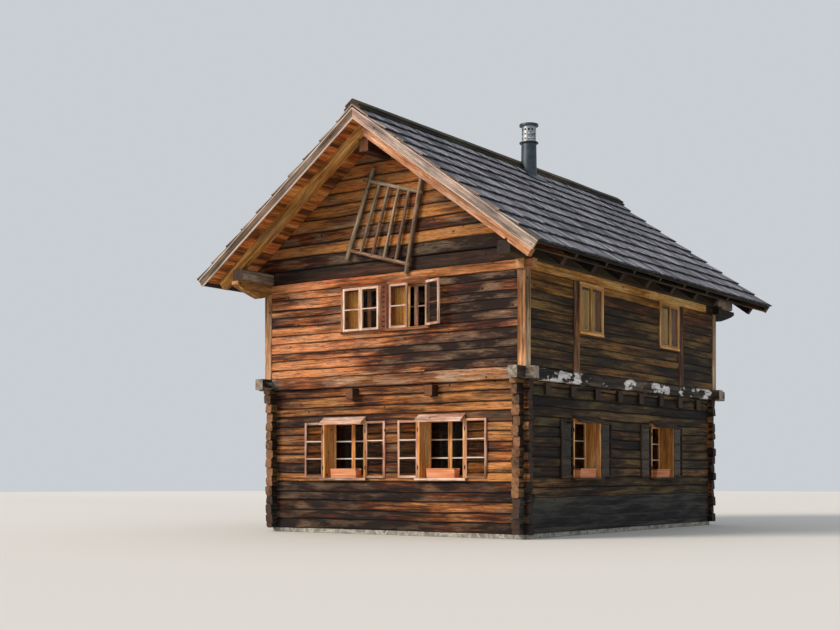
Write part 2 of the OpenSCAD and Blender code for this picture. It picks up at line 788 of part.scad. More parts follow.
// A wall plate: its front end is given, from top to underside; the rear one is a corbel
module wall_plate(front) {
  tip = verge - corbel_end;
  difference() {
    along_x(half_w - post_x, half_w)
      polygon(concat([[tip, plate_top]], front, reverse(corbel(tip, y_rear))));
    for (y = [y_front, y_rear - post_y])
      box([0, y - fit, tie_z - 1], [half_w + 1, y + post_y + fit, tie_z + tie_h / 2]);
  }
}
module wall_plates() {
  tip = corbel_end - verge;
  head = y_front - plate_head;
  color("#6b5128") {
    mirror([1, 0, 0]) wall_plate(concat([[tip, plate_top]], corbel(tip, y_front)));
    wall_plate([[head, plate_top], [head, tie_z]]);
  }
}

// Gables: foot log between the purlins, stepped logs up to the roof boards
module gable_foot_logs() {
  end = half_w + purlin_out - purlin_w - fit;
  color("#2e2018") for (y = [y_front + foot_inset, y_rear - foot_inset - gable_t])
    along_x(-end, end)
      polygon(section(y, gable_t, plate_top, plate_top + foot_h - seam, gable_edge));
}
module gable_logs() {
  difference() {
    for (k = [0:gable_courses - 1]) {
      end = soffit_x(gable_z(k)) - gable_gap;
      along_x(-end, end)
        polygon(section(plank_inset, gable_t, gable_z(k) + seam / 2, gable_z(k + 1) - seam / 2, gable_edge));
    }
    mirror_x() slope_part(0, slope_l, 0, rafter_d + gable_gap * sin(pitch), -1, up_depth);
    box([-ridge_w / 2 - fit, -1, ridge_top - ridge_h - fit], [ridge_w / 2 + fit, up_depth, apex_z]);
  }
}
module front_gable_logs() {
  color("#6a3a20") translate([0, y_front, 0]) gable_logs();
}
module back_gable_logs() {
  color("#543420") translate([0, y_rear, 0]) mirror([0, 1, 0]) gable_logs();
}

// Roof
module slope_part(s0, s1, d0, d1, y0, y1) {
  along_y(y0, y1) polygon([
    slope_p(max(s0, ridge_s(d0)), d0), slope_p(s1, d0),
    slope_p(s1, d1), slope_p(max(s0, ridge_s(d1)), d1)
  ]);
}
module eave_purlins() {
  x0 = half_w + purlin_out - purlin_w;
  color("#7a6248") for (m = [0, 1]) mirror([m, 0, 0])
    along_y([purlin_right, purlin_left][m] - verge, verge - purlin_end)
      polygon(section(x0, purlin_w, plate_top, purlin_top, purlin_edge));
}
module ridge_purlin() {
  color("#7a5a3c") along_y(purlin_end - verge, verge - purlin_end)
    polygon(section(-ridge_w / 2, ridge_w, ridge_top - ridge_h, ridge_top, beam_edge));
}
module rafter_pair(y) {
  x0 = half_w + purlin_out - purlin_w;
  mirror_x() difference() {
    slope_part(0, ridge_s(rafter_d) + rafter_l, rafter_d, rafter_d + rafter_h, y, y + rafter_w);
    box([x0 - fit, y - 1, plate_top], [x0 + purlin_w + fit, y + rafter_w + 1, purlin_top]);
    box([-1, y - 1, ridge_top - ridge_h], [ridge_w / 2 + fit, y + rafter_w + 1, ridge_top]);
  }
}
module rafters() {
  color("#8a6238") for (k = [0:rafter_count - 1])
    rafter_pair(y_front + rafter_first + k * rafter_pitch - rafter_w / 2);
}
module flying_rafters() {
  color("#c87a3a") {
    rafter_pair(fly_front);
    rafter_pair(fly_rear);
  }
}
module roof_boards() {
  color("#a8702c") mirror_x()
    slope_part(0, slope_l - eave_back, deck_d, rafter_d, -verge_in, verge_in);
}
module flue_hole(grow) {
  translate([flue_x, flue_y, joist_top]) cylinder(h = apex_z, r = flue_r + grow);
}
module battens() {
  step = slope_l / shingle_courses;
  color("#8c7350") difference() {
    mirror_x() {
      for (k = [0:rafter_count - 1]) {
        y = y_front + rafter_first + k * rafter_pitch;
        slope_part(0, slope_l - eave_back, deck_d - counter_h, deck_d, y - batten_w / 2, y + batten_w / 2);
      }
      for (y = [-verge_in, verge_in - batten_w])
        slope_part(0, slope_l - eave_back, deck_d - counter_h, deck_d, y, y + batten_w);
      for (i = [1:shingle_courses])
        slope_part(i * step - batten_w - eave_back, i * step - eave_back,
          shingle_t, deck_d - counter_h - fit, -verge_in, verge_in);
    }
    flue_hole(fit);
  }
}
// One slope of shingles: each course thickens to its butt and laps the next one below
module shingle_slope() {
  step = slope_l / shingle_courses;
  along_y(-verge, verge) polygon(concat(
    [slope_p(ridge_s(0), 0), slope_p(step, 0)],
    [for (i = [1:shingle_courses - 1]) each [slope_p(i * step, butt_t), slope_p((i + 1) * step, 0)]],
    [slope_p(slope_l, shingle_t), slope_p(ridge_s(shingle_t), shingle_t)]
  ));
}
module left_shingles() {
  color("#6f6c72") mirror([1, 0, 0]) shingle_slope();
}
module right_shingles() {
  color("#6f6c72") difference() {
    shingle_slope();
    flue_hole(fit);
  }
}
module ridge_cap() {
  color("#3c3830") difference() {
    mirror_x() along_y(-verge, verge) polygon([
      slope_p(ridge_s(0), 0), slope_p(cap_w, 0), slope_p(cap_w, -cap_t), slope_p(cap_w * cap_share, -cap_t),
      slope_p(cap_w * cap_share, -2 * cap_t), slope_p(ridge_s(-2 * cap_t), -2 * cap_t)
    ]);
    flue_hole(fit);
  }
}
module barge_boards() {
  color("#9a8076") mirror_x() for (y = [-verge, verge - barge_t])
    slope_part(0, slope_l - barge_back, shingle_t, shingle_t + barge_h, y, y + barge_t);
}

// Chimney: the pipe stands on the roof boards, the cowl on the pipe
module chimney_pipe() {
  foot = apex_z - (deck_d + flue_r) / cos(pitch) - (flue_x + flue_r) * tan(pitch);
  color("#3b434b") difference() {
    translate([flue_x, flue_y, foot]) cylinder(h = flue_z - foot, r1 = flue_r, r2 = flue_top_r);
    translate([flue_x, flue_y, foot - 1])
      cylinder(h = flue_z - foot + 2, r1 = flue_r - flue_wall, r2 = flue_top_r - flue_wall);
    along_y(flue_y - 2 * flue_r, flue_y + 2 * flue_r) polygon([
      slope_p(0, deck_d), slope_p(slope_l, deck_d), [0, tie_z]
    ]);
  }
}
module chimney_cowl() {
  row = (cowl_h - 2 * disc_t) / slot_rows;
  color("#c9ccce") translate([flue_x, flue_y, flue_z]) {
    difference() {
      union() {
        cylinder(h = disc_t / 2, r = disc_r);
        cylinder(h = cowl_h, r = cowl_r);
      }
      translate([0, 0, -1]) cylinder(h = cowl_h + 2, r = cowl_r - flue_wall);
      for (a = [0:slot_count - 1], k = [0:slot_rows - 1])
        rotate([0, 0, a * 360 / slot_count])
          translate([0, 0, disc_t + (k + 0.5) * row])
            box([0, -slot_w / 2, -slot_share * row / 2], [disc_r, slot_w / 2, slot_share * row / 2]);
    }
    translate([0, 0, cowl_h]) cylinder(h = disc_t, r = disc_r);
  }
}

// Windows below: box lining through the wall, inner sashes, outer casements laid open on the wall
module sash(w, h, bars) {
  front = sash_t / 2 - glass_t / 2 - fit;
  gap = (h - 2 * sash_w - bars * bar_w) / (bars + 1);
  difference() {
    box([0, 0, 0], [w, sash_t, h]);
    box([sash_w, front, sash_w], [w - sash_w, sash_t + 1, h - sash_w]);
    for (i = [0:bars]) {
      z = sash_w + i * (gap + bar_w);
      box([sash_w, -1, z], [w - sash_w, sash_t, z + gap]);
    }
  }
}
// The sheet of glass of a sash, set behind its bars
module pane(w, h) {
  y = (sash_t - glass_t) / 2;
  box([sash_w + fit, y, sash_w + fit], [w - sash_w - fit, y + glass_t, h - sash_w - fit]);
}
module lower_casings() {
  color("#e0a060") for (w = low_windows)
    on_wall(w[0], w[1], low_sill_z, jetty) {
      x = w[2] / 2;
      box([-x - sill_ear, -sill_board_out, 0], [x + sill_ear, -fit, sill_board_t]);
      box([-x, fit, 0], [x, low_depth, sill_board_t]);
      for (m = [0, 1]) mirror([m, 0, 0])
        box([x - casing_t, -casing_out, sill_board_t + seam], [x, low_depth, low_win_h - casing_t - seam]);
      box([-x, -casing_out, low_win_h - casing_t], [x, low_depth, low_win_h]);
      rise = (hood_out - casing_out) * tan(hood_fall);
      along_x(-x, x) polygon([
        [-fit, low_win_h + seam], [-casing_out, low_win_h + seam], [-hood_out, low_win_h + seam - rise],
        [-hood_out, low_win_h + seam - rise + hood_t / cos(hood_fall)],
        [-fit, low_win_h + seam + hood_t / cos(hood_fall) + casing_out * tan(hood_fall)]
      ]);
    }
}
module in_low_window(w) {
  on_wall(w[0], w[1], low_sill_z + sill_board_t + fit, jetty) children();
}
low_sash_h = low_win_h - casing_t - sill_board_t - 2 * fit;
function low_sash_w(w) = (w[2] - 2 * casing_t - seam) / 2 - fit;
module lower_inner_leaves(w) {
  in_low_window(w) for (m = [0, 1]) mirror([m, 0, 0])
    translate([seam / 2, low_depth - inner_back - sash_t, 0]) children();
}
module lower_outer_leaves(w) {
  in_low_window(w) for (m = [0, 1]) mirror([m, 0, 0])
    translate([w[2] / 2 + fit, -casing_out + 2, 0]) children();
}
module lower_sashes() {
  color("#b8793c") for (w = low_windows)
    lower_inner_leaves(w) sash(low_sash_w(w), low_sash_h, 2);
}
module lower_casements() {
  color("#a8684a") for (w = low_windows)
    lower_outer_leaves(w) sash(leaf_w, low_sash_h, 2);
}
module window_boxes() {
  color("#c9764e") for (w = low_windows)
    on_wall(w[0], w[1], low_sill_z + sill_board_t, jetty)
      translate([0, box_in, 0]) along_x(-box_l / 2, box_l / 2) polygon([
        [-box_foot, 0], [box_foot, 0], [box_d / 2, box_h - lip_h], [box_d / 2 + lip_out, box_h - lip_h],
        [box_d / 2 + lip_out, box_h], [box_d / 2 - box_wall, box_h], [box_d / 2 - box_wall, box_h - lip_h],
        [box_wall - box_d / 2, box_h - lip_h], [box_wall - box_d / 2, box_h],
        [-box_d / 2 - lip_out, box_h], [-box_d / 2 - lip_out, box_h - lip_h], [-box_d / 2, box_h - lip_h]
      ]);
}

// Frame boards past the post face: the front and rear windows stand proud
function up_proud(w) = w[5] == 1 ? frame_out : 0;
// Windows above: frames up to the tie beam, sashes near the face
function up_sash_h(w) = w[3] - 2 * frame_t - 2 * fit;
function up_sash_w(w) = (w[2] - seam) / 2 - frame_t - fit;
module upper_casings() {
  color("#a8684a") {
    for (w = up_windows)
      on_wall(w[0], w[1], tie_z - w[3]) {
        x = w[2] / 2;
        y0 = -up_proud(w);
        box([-x, y0 - nose, 0], [x, up_depth, frame_t]);
        box([-x, y0, w[3] - frame_t], [x, up_depth, w[3] - fit]);
        for (m = [0, 1]) mirror([m, 0, 0])
          box([x - frame_t, y0, frame_t + seam], [x, up_depth, w[3] - frame_t - seam]);
      }
    for (side = ["front", "back"])
      on_wall(side, (up_left_x + up_right_x) / 2, tie_z - up_front_h) difference() {
        box([-mid_post_w / 2 + seam, -tooth_out, 0],
          [mid_post_w / 2 - seam, plank_inset + plank_t, up_front_h - fit]);
        for (i = [0:tooth_count - 1])
          translate([0, 0, (i + 1) * up_front_h / (tooth_count + 1) - tooth_h / 2])
            box([-tooth_w / 2, -tooth_out - 1, 0], [tooth_w / 2, tooth_d - tooth_out, tooth_h]);
      }
  }
}
module upper_outer_leaves(w) {
  on_wall(w[0], w[1], tie_z - w[3] + frame_t + fit)
    for (m = [0, 1]) mirror([m, 0, 0])
      translate([up_sash_w(w) + seam / 2, -up_proud(w) - fit, 0]) rotate([0, 0, w[4][1 - m]])
        translate([-up_sash_w(w), 0, 0]) children();
}
module upper_inner_leaves(w) {
  on_wall(w[0], w[1], tie_z - w[3] + frame_t + fit) for (m = [0, 1]) mirror([m, 0, 0])
    translate([seam / 2, up_depth - inner_back - sash_t, 0]) children();
}
module upper_sashes() {
  color("#b8793c") for (w = up_windows) {
    upper_outer_leaves(w) sash(up_sash_w(w), up_sash_h(w), w[5]);
    upper_inner_leaves(w) sash(up_sash_w(w), up_sash_h(w), w[5]);
  }
}
module window_glass() {
  color("#9fb3b0") {
    for (w = low_windows) {
      lower_inner_leaves(w) pane(low_sash_w(w), low_sash_h);
      lower_outer_leaves(w) pane(leaf_w, low_sash_h);
    }
    for (w = up_windows) {
      upper_outer_leaves(w) pane(up_sash_w(w), up_sash_h(w));
      upper_inner_leaves(w) pane(up_sash_w(w), up_sash_h(w));
    }
  }
}

module back_door() {
  color("#6e4a2c") on_wall("back", door_x, floor_z, jetty) {
    x = door_w / 2;
    for (m = [0, 1]) mirror([m, 0, 0])
      box([x - casing_t, -casing_out, fit], [x, low_depth, door_h - casing_t - seam]);
    box([-x, -casing_out, door_h - casing_t], [x, low_depth, door_h]);
    box([casing_t - x + fit, door_in, fit], [x - casing_t - fit, door_in + door_t, door_h - casing_t - fit]);
  }
}

// Hay rack: a skew frame of poles on the front gable
module pole(a, b, r) {
  v = b - a;
  translate(a) rotate([0, acos(v[2] / norm(v)), atan2(v[1], v[0])]) cylinder(h = norm(v), r = r);
}
function rail_at(top, foot, t) = top + (foot - top) * t;
function rack_z(share) = plate_top + share * (apex_z - plate_top);
function unit(v) = v / norm(v);
module hay_rack() {
  y = y_front - rail_r - fit;
  lt = [rack_left_top_x, y, rack_z(rack_left_top_share)];
  lf = [rack_left_foot_x, y, rack_z(rack_left_foot_share)];
  rt = [rack_right_top_x, y, rack_z(rack_right_top_share)];
  rf = [rack_right_foot_x, y, rack_z(rack_right_foot_share)];
  past = cross_past * unit(rt - lt);
  color("#b9a48a") {
    pole(lt, lf, rail_r);
    pole(rt, rf, rail_r);
    for (t = [cross_top_share, cross_foot_share])
      pole(rail_at(lt, lf, t) - past, rail_at(rt, rf, t) + past, cross_r);
    for (i = [1:spindle_count]) {
      u = i / (spindle_count + 1);
      top = rail_at(rail_at(lt, lf, cross_top_share), rail_at(rt, rf, cross_top_share), u);
      foot = rail_at(rail_at(lt, lf, cross_foot_share), rail_at(rt, rf, cross_foot_share), u);
      pole(top - spindle_past * unit(foot - top), foot + spindle_past * unit(foot - top), spindle_r);
    }
    pegs = [
      rail_at(lt, lf, peg_top_share), rail_at(lt, lf, peg_foot_share), rail_at(rt, rf, peg_top_share)
    ];
    for (p = pegs)
      translate([p[0], y_front + plank_inset - fit, p[2]]) rotate([90, 0, 0])
        cylinder(h = plank_inset + rail_r, r = peg_r);
  }
}

plinth();
floors();
front_log_wall();
back_log_wall();
left_log_wall();
right_log_wall();
lower_lining();
floor_joists();
long_beams();
cross_sills();
side_sills();
drip_board();
corner_posts();
side_posts();
front_planks();
back_planks();
left_planks();
right_planks();
upper_lining();
tie_beams();
wall_plates();
gable_foot_logs();
front_gable_logs();
back_gable_logs();
eave_purlins();
ridge_purlin();
rafters();
flying_rafters();
roof_boards();
battens();
left_shingles();
right_shingles();
ridge_cap();
barge_boards();
chimney_pipe();
chimney_cowl();
lower_casings();
lower_sashes();
lower_casements();
upper_casings();
upper_sashes();
window_glass();
window_boxes();
back_door();
hay_rack();
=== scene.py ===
# %% [markdown]
# # An alpine chalet of hewn larch
# The real house is stacked, notched and pegged from a few hundred pieces of larch that a century
# of sun has turned black in the seams and orange on the faces. The frame that is loaded here holds
# every log, plank, rafter and sash as a clean solid at its true size, in metres. The steps below
# dress those solids one family at a time: the axe marks, the split shingles, the old colours.

# %% Load the frame
import math

import bmesh
import bpy
import numpy as np
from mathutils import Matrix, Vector


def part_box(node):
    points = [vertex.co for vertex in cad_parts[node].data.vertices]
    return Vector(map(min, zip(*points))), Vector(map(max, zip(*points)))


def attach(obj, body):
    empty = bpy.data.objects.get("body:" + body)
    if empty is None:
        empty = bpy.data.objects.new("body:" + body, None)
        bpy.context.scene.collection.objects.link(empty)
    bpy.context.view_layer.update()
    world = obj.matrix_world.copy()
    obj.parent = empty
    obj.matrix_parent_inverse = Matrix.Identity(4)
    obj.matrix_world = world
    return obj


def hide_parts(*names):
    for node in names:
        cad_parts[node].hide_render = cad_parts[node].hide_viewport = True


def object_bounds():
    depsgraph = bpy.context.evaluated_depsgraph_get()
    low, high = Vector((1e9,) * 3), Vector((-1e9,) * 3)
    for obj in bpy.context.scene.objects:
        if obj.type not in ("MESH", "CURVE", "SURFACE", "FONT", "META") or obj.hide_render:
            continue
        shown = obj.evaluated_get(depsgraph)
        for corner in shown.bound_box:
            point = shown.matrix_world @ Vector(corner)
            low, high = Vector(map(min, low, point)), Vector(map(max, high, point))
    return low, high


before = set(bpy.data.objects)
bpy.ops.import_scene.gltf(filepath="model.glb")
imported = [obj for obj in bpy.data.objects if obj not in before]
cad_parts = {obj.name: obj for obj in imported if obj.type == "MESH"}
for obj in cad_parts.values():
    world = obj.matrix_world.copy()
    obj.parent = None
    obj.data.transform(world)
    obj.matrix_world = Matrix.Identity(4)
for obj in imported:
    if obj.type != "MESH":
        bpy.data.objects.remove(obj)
cad_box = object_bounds()
print("nodes", len(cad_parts), "box", [round(c, 3) for corner in cad_box for c in corner])

# %% [markdown]
# ## The camera
# The camera stands off the right front corner, at eye height for someone seated, and it is level.
# A level camera keeps every post upright, and the lens shift, not a tilt, puts the roof in the
# frame. The place and the angle were solved from the corners and the eaves of the house.

# %% Set the camera
scene = bpy.context.scene
scene.view_settings.view_transform = "Standard"
lens = bpy.data.cameras.new("corner_view")
lens.sensor_width, lens.lens, lens.shift_y, lens.clip_end = 36.0, 56.2, 0.189, 300.0
camera = bpy.data.objects.new("corner_view", lens)
camera.location = (14.337, -23.275, 1.12)
camera.rotation_euler = (math.radians(90), 0, math.radians(35.35))
scene.collection.objects.link(camera)
scene.camera = camera
print("camera", tuple(camera.location), "lens", lens.lens)

# %% [markdown]
# ## Floor and light
# A pale floor and an even sky let the wood speak. The sun is a broad, soft one: it stands to the
# front left, so the gable side is bright and the long side falls into shade. Its wide disc keeps
# the shadow of the eaves soft, as under thin cloud.

# %% Colours from sRGB codes
def linear(code):
    """The linear colour that a socket takes, from a hex code."""
    rgb = [int(code[i:i + 2], 16) / 255 for i in (1, 3, 5)]
    return [c / 12.92 if c <= 0.04045 else ((c + 0.055) / 1.055) ** 2.4 for c in rgb] + [1.0]


print("mid grey", round(linear("#808080")[0], 3))

# %% One helper that adds a shader node
def wire(node, inputs):
    """Fills the inputs of a node: numbers are set, sockets and other nodes are linked."""
    for key, value in inputs.items():
        if isinstance(value, bpy.types.Node):
            value = next(socket for socket in value.outputs if socket.enabled)
        if isinstance(value, bpy.types.NodeSocket):
            node.id_data.links.new(value, node.inputs[key])
        else:
            node.inputs[key].default_value = value


def add(tree, kind, inputs=None, stops=None, **settings):
    """Adds the node "ShaderNode" + kind; stops are the (place, hex colour) of a colour ramp."""
    node = tree.nodes.new("ShaderNode" + kind)
    for name, value in settings.items():
        setattr(node, name, value)
    wire(node, inputs or {})
    if stops:
        band = node.color_ramp.elements
        while len(band) < len(stops):
            band.new(0.5)
        for element, (where, code) in zip(band, stops):
            element.position, element.color = where, linear(code)
    return node


# %% Start a finish and link its shader
def finish(title, plain=None):
    """A new material, its tree and its surface shader, whose plain sockets are set here."""
    paint = bpy.data.materials.new(title)
    paint.use_nodes = True
    tree = paint.node_tree
    tree.nodes.clear()
    shell = add(tree, "BsdfPrincipled", plain)
    add(tree, "OutputMaterial", {"Surface": shell})
    return paint, tree, shell


def dress(shell, colour, gloss=None, bump=None):
    """Gives the shader its colour, gloss (source, least, most) and bump (source, strength, metres)."""
    tree, inputs = shell.id_data, {"Base Color": colour}
    if gloss:
        inputs["Roughness"] = add(tree, "MapRange", dict(zip(("Value", "To Min", "To Max"), gloss)))
    if bump:
        inputs["Normal"] = add(tree, "Bump", dict(zip(("Height", "Strength", "Distance"), bump)))
    wire(shell, inputs)


print("helpers ready")

# %% Lay the floor
RADIUS, SIDES = 60.0, 64
pale, tree, shell = finish("plain pale floor", {"Roughness": 0.9})
speckle = add(tree, "TexNoise", {"Scale": 3.0, "Detail": 2.0})
dress(shell, add(tree, "ValToRGB", {"Fac": speckle}, stops=[(0.3, "#d3d1cc"), (0.7, "#dbd9d5")]))
ring = [(RADIUS * math.cos(a), RADIUS * math.sin(a), -0.002)
        for a in np.linspace(0, 2 * math.pi, SIDES, endpoint=False)]
ground = bpy.data.meshes.new("floor")
ground.from_pydata(ring, [], [list(range(SIDES))])
ground.materials.append(pale)
floor = bpy.data.objects.new("floor", ground)
scene.collection.objects.link(floor)
print("floor radius", RADIUS)

# %% Set the sky and the soft sun
sky = bpy.data.worlds.new("even sky")
sky.use_nodes = True
wire(sky.node_tree.nodes["Background"], {"Color": linear("#dfe4ea"), "Strength": 0.8})
scene.world = sky
sun = bpy.data.lights.new("soft_sun", "SUN")
sun.energy, sun.angle, sun.color = 3.15, math.radians(24), linear("#fff1e0")[:3]
holder = bpy.data.objects.new("soft_sun", sun)
holder.rotation_euler = Vector((11, 17, -12)).to_track_quat("-Z", "Y").to_euler()
scene.collection.objects.link(holder)
print("sun", sun.energy, "disc", round(math.degrees(sun.angle)))

# %% [markdown]
# ## Old larch, as a finish
# Every log here shows the same few things: fibres that run its whole length, drying cracks along
# them, faces that the sun burnt orange to black, patches that rain bleached, and soot-dark seams.
# One recipe gives all of that, because each piece carries its own coordinates: "grain" runs along
# the piece in metres, "tone" is the piece's own shade, and "seam" is 1 at its edges. The scales
# are millimetres of real wood: streaks about 60 mm wide, cracks every 30 mm, fibres of 5 mm.

# %% The recipe for weathered timber
def timber(title, colours, bleached=0.3, tone_share=0.2, crack=0.8, rough=0.8, stain=0.6, warm=0.5,
           worn_at=(0.5, 0.66), spread=1.1):
    """Weathered wood; colours are hex codes: four of the fibre, dark to light, then seam and bleach."""
    *fibre, seam, bleach = colours.split()
    paint, tree, shell = finish(title, {"Specular IOR Level": 0.3})
    grain, tone, edge = (add(tree, "Attribute", attribute_name=name).outputs[kind]
                         for name, kind in (("grain", "Vector"), ("tone", "Fac"), ("seam", "Fac")))

    def field(scale, detail, rough_share=0.5):
        """Noise stretched along the grain: scale lists bumps a metre along, up and out."""
        stretched = add(tree, "Mapping", {"Vector": grain, "Scale": scale})
        return add(tree, "TexNoise", {"Vector": stretched, "Scale": 1.0, "Detail": detail,
                                      "Roughness": rough_share})

    streak = field((0.9, 16.0, 16.0), 6.0, 0.68)
    hair = field((4.0, 170.0, 170.0), 4.0, 0.6)
    check = field((1.6, 42.0, 42.0), 3.0)
    patch = field((spread, 5.0, 5.0), 5.0, 0.6)
    soak = field((0.45, 2.2, 2.2), 5.0, 0.6)
    own = add(tree, "Math", {0: tone, 1: tone_share, 2: -0.5 * tone_share}, operation="MULTIPLY_ADD")
    drift = add(tree, "Math", {0: soak, 1: 0.7, 2: -0.35}, operation="MULTIPLY_ADD")
    base = add(tree, "Math", {0: own, 1: drift}, operation="ADD")
    mixed = add(tree, "Math", {0: streak, 1: base}, operation="ADD")
    colour = add(tree, "ValToRGB", {"Fac": mixed}, stops=list(zip((0.34, 0.45, 0.55, 0.69), fibre)))
    turn = add(tree, "ValToRGB", {"Fac": field((0.35, 3.2, 3.2), 4.0)},
               stops=[(0.38, "#925a48"), (0.5, "#808080"), (0.62, "#88806a")])
    hue = add(tree, "Mix", {0: warm, 6: colour, 7: turn}, data_type="RGBA", blend_type="OVERLAY")
    worn = add(tree, "MapRange", {"Value": patch, "From Min": worn_at[0], "From Max": worn_at[1],
                                  "To Max": bleached})
    skin = add(tree, "Mix", {0: worn, 6: hue, 7: linear(bleach)}, data_type="RGBA")
    dim = add(tree, "ValToRGB", {"Fac": hair}, stops=[(0.32, "#8c8682"), (0.58, "#ffffff")])
    line = add(tree, "ValToRGB", {"Fac": check},
               stops=[(0.465, "#ffffff"), (0.5, "#1c130c"), (0.52, "#ffffff")])
    cell = add(tree, "TexVoronoi", {"Vector": grain, "Scale": 4.0})
    knot = add(tree, "ValToRGB", {"Fac": cell},
               stops=[(0.05, "#2e1c10"), (0.085, "#8a6a50"), (0.12, "#ffffff")])
    for share, layer in ((1.0, dim), (crack, line), (0.85, knot)):
        skin = add(tree, "Mix", {0: share, 6: skin, 7: layer}, data_type="RGBA", blend_type="MULTIPLY")
    ragged_edge = add(tree, "Math", {0: patch, 1: 0.9, 2: -0.45}, operation="MULTIPLY_ADD")
    brim = add(tree, "Math", {0: edge, 1: ragged_edge}, operation="ADD")
    soot = add(tree, "MapRange", {"Value": brim, "From Min": 0.5, "From Max": 0.98, "To Max": 0.93})
    smoke = add(tree, "MapRange", {"Value": soak, "From Min": 0.5, "From Max": 0.36, "To Max": stain})
    for share, code in ((soot, seam), (smoke, fibre[0])):
        skin = add(tree, "Mix", {0: share, 6: skin, 7: linear(code)}, data_type="RGBA")
    relief = add(tree, "Math", {0: hair, 1: 0.35, 2: streak}, operation="MULTIPLY_ADD")
    depth = add(tree, "Math", {0: line, 1: 0.5, 2: relief}, operation="MULTIPLY_ADD")
    dress(shell, skin, (hair, rough - 0.12, rough + 0.15), (depth, 0.55, 0.006))
    return paint


print("timber recipe ready")

# %% [markdown]
# ## Cut ends
# Where a log is sawn across, its year rings show, and drying opens cracks from the heart outwards.
# The cut ends also weather paler than the faces. The rings are circles round the "grain" axis, so
# the same recipe fits every log head.

# %% The recipe for end grain
def end_grain(title, light, dark):
    """Sawn ends: soft blotches of 80 mm, rings drawn 13 mm apart so that they show, heart cracks."""
    paint, tree, shell = finish(title)
    grain = add(tree, "Attribute", attribute_name="grain").outputs["Vector"]
    tone = add(tree, "Attribute", attribute_name="tone").outputs["Fac"]
    flat = add(tree, "Mapping", {"Vector": grain, "Scale": (0.02, 1.0, 1.0)})
    blot = add(tree, "TexNoise", {"Vector": flat, "Scale": 12.0, "Detail": 6.0, "Roughness": 0.65})
    rings = add(tree, "TexWave", {"Vector": flat, "Scale": 24.0, "Distortion": 2.5, "Detail": 3.0,
                                  "Detail Scale": 0.6}, wave_type="RINGS", rings_direction="X")
    own = add(tree, "Math", {0: tone, 1: 0.3, 2: blot}, operation="MULTIPLY_ADD")
    face = add(tree, "ValToRGB", {"Fac": own}, stops=[(0.36, dark), (0.74, light), (0.92, light)])
    groove = add(tree, "ValToRGB", {"Fac": rings.outputs["Fac"]},
                 stops=[(0.0, "#6a5442"), (0.55, "#ffffff")])
    parts = add(tree, "SeparateXYZ", {"Vector": grain}).outputs
    turn = add(tree, "Math", {0: parts["Z"], 1: parts["Y"]}, operation="ARCTAN2")
    ray = add(tree, "CombineXYZ", {"X": turn, "Y": tone})
    split = add(tree, "TexNoise", {"Vector": ray, "Scale": 2.6, "Detail": 2.0})
    line = add(tree, "ValToRGB", {"Fac": split},
               stops=[(0.475, "#ffffff"), (0.5, "#140d08"), (0.515, "#ffffff")])
    for share, layer in ((0.6, groove), (0.85, line)):
        face = add(tree, "Mix", {0: share, 6: face, 7: layer}, data_type="RGBA", blend_type="MULTIPLY")
    dress(shell, face, (blot, 0.75, 0.98), (line, 0.5, 0.006))
    return paint


print("end grain recipe ready")

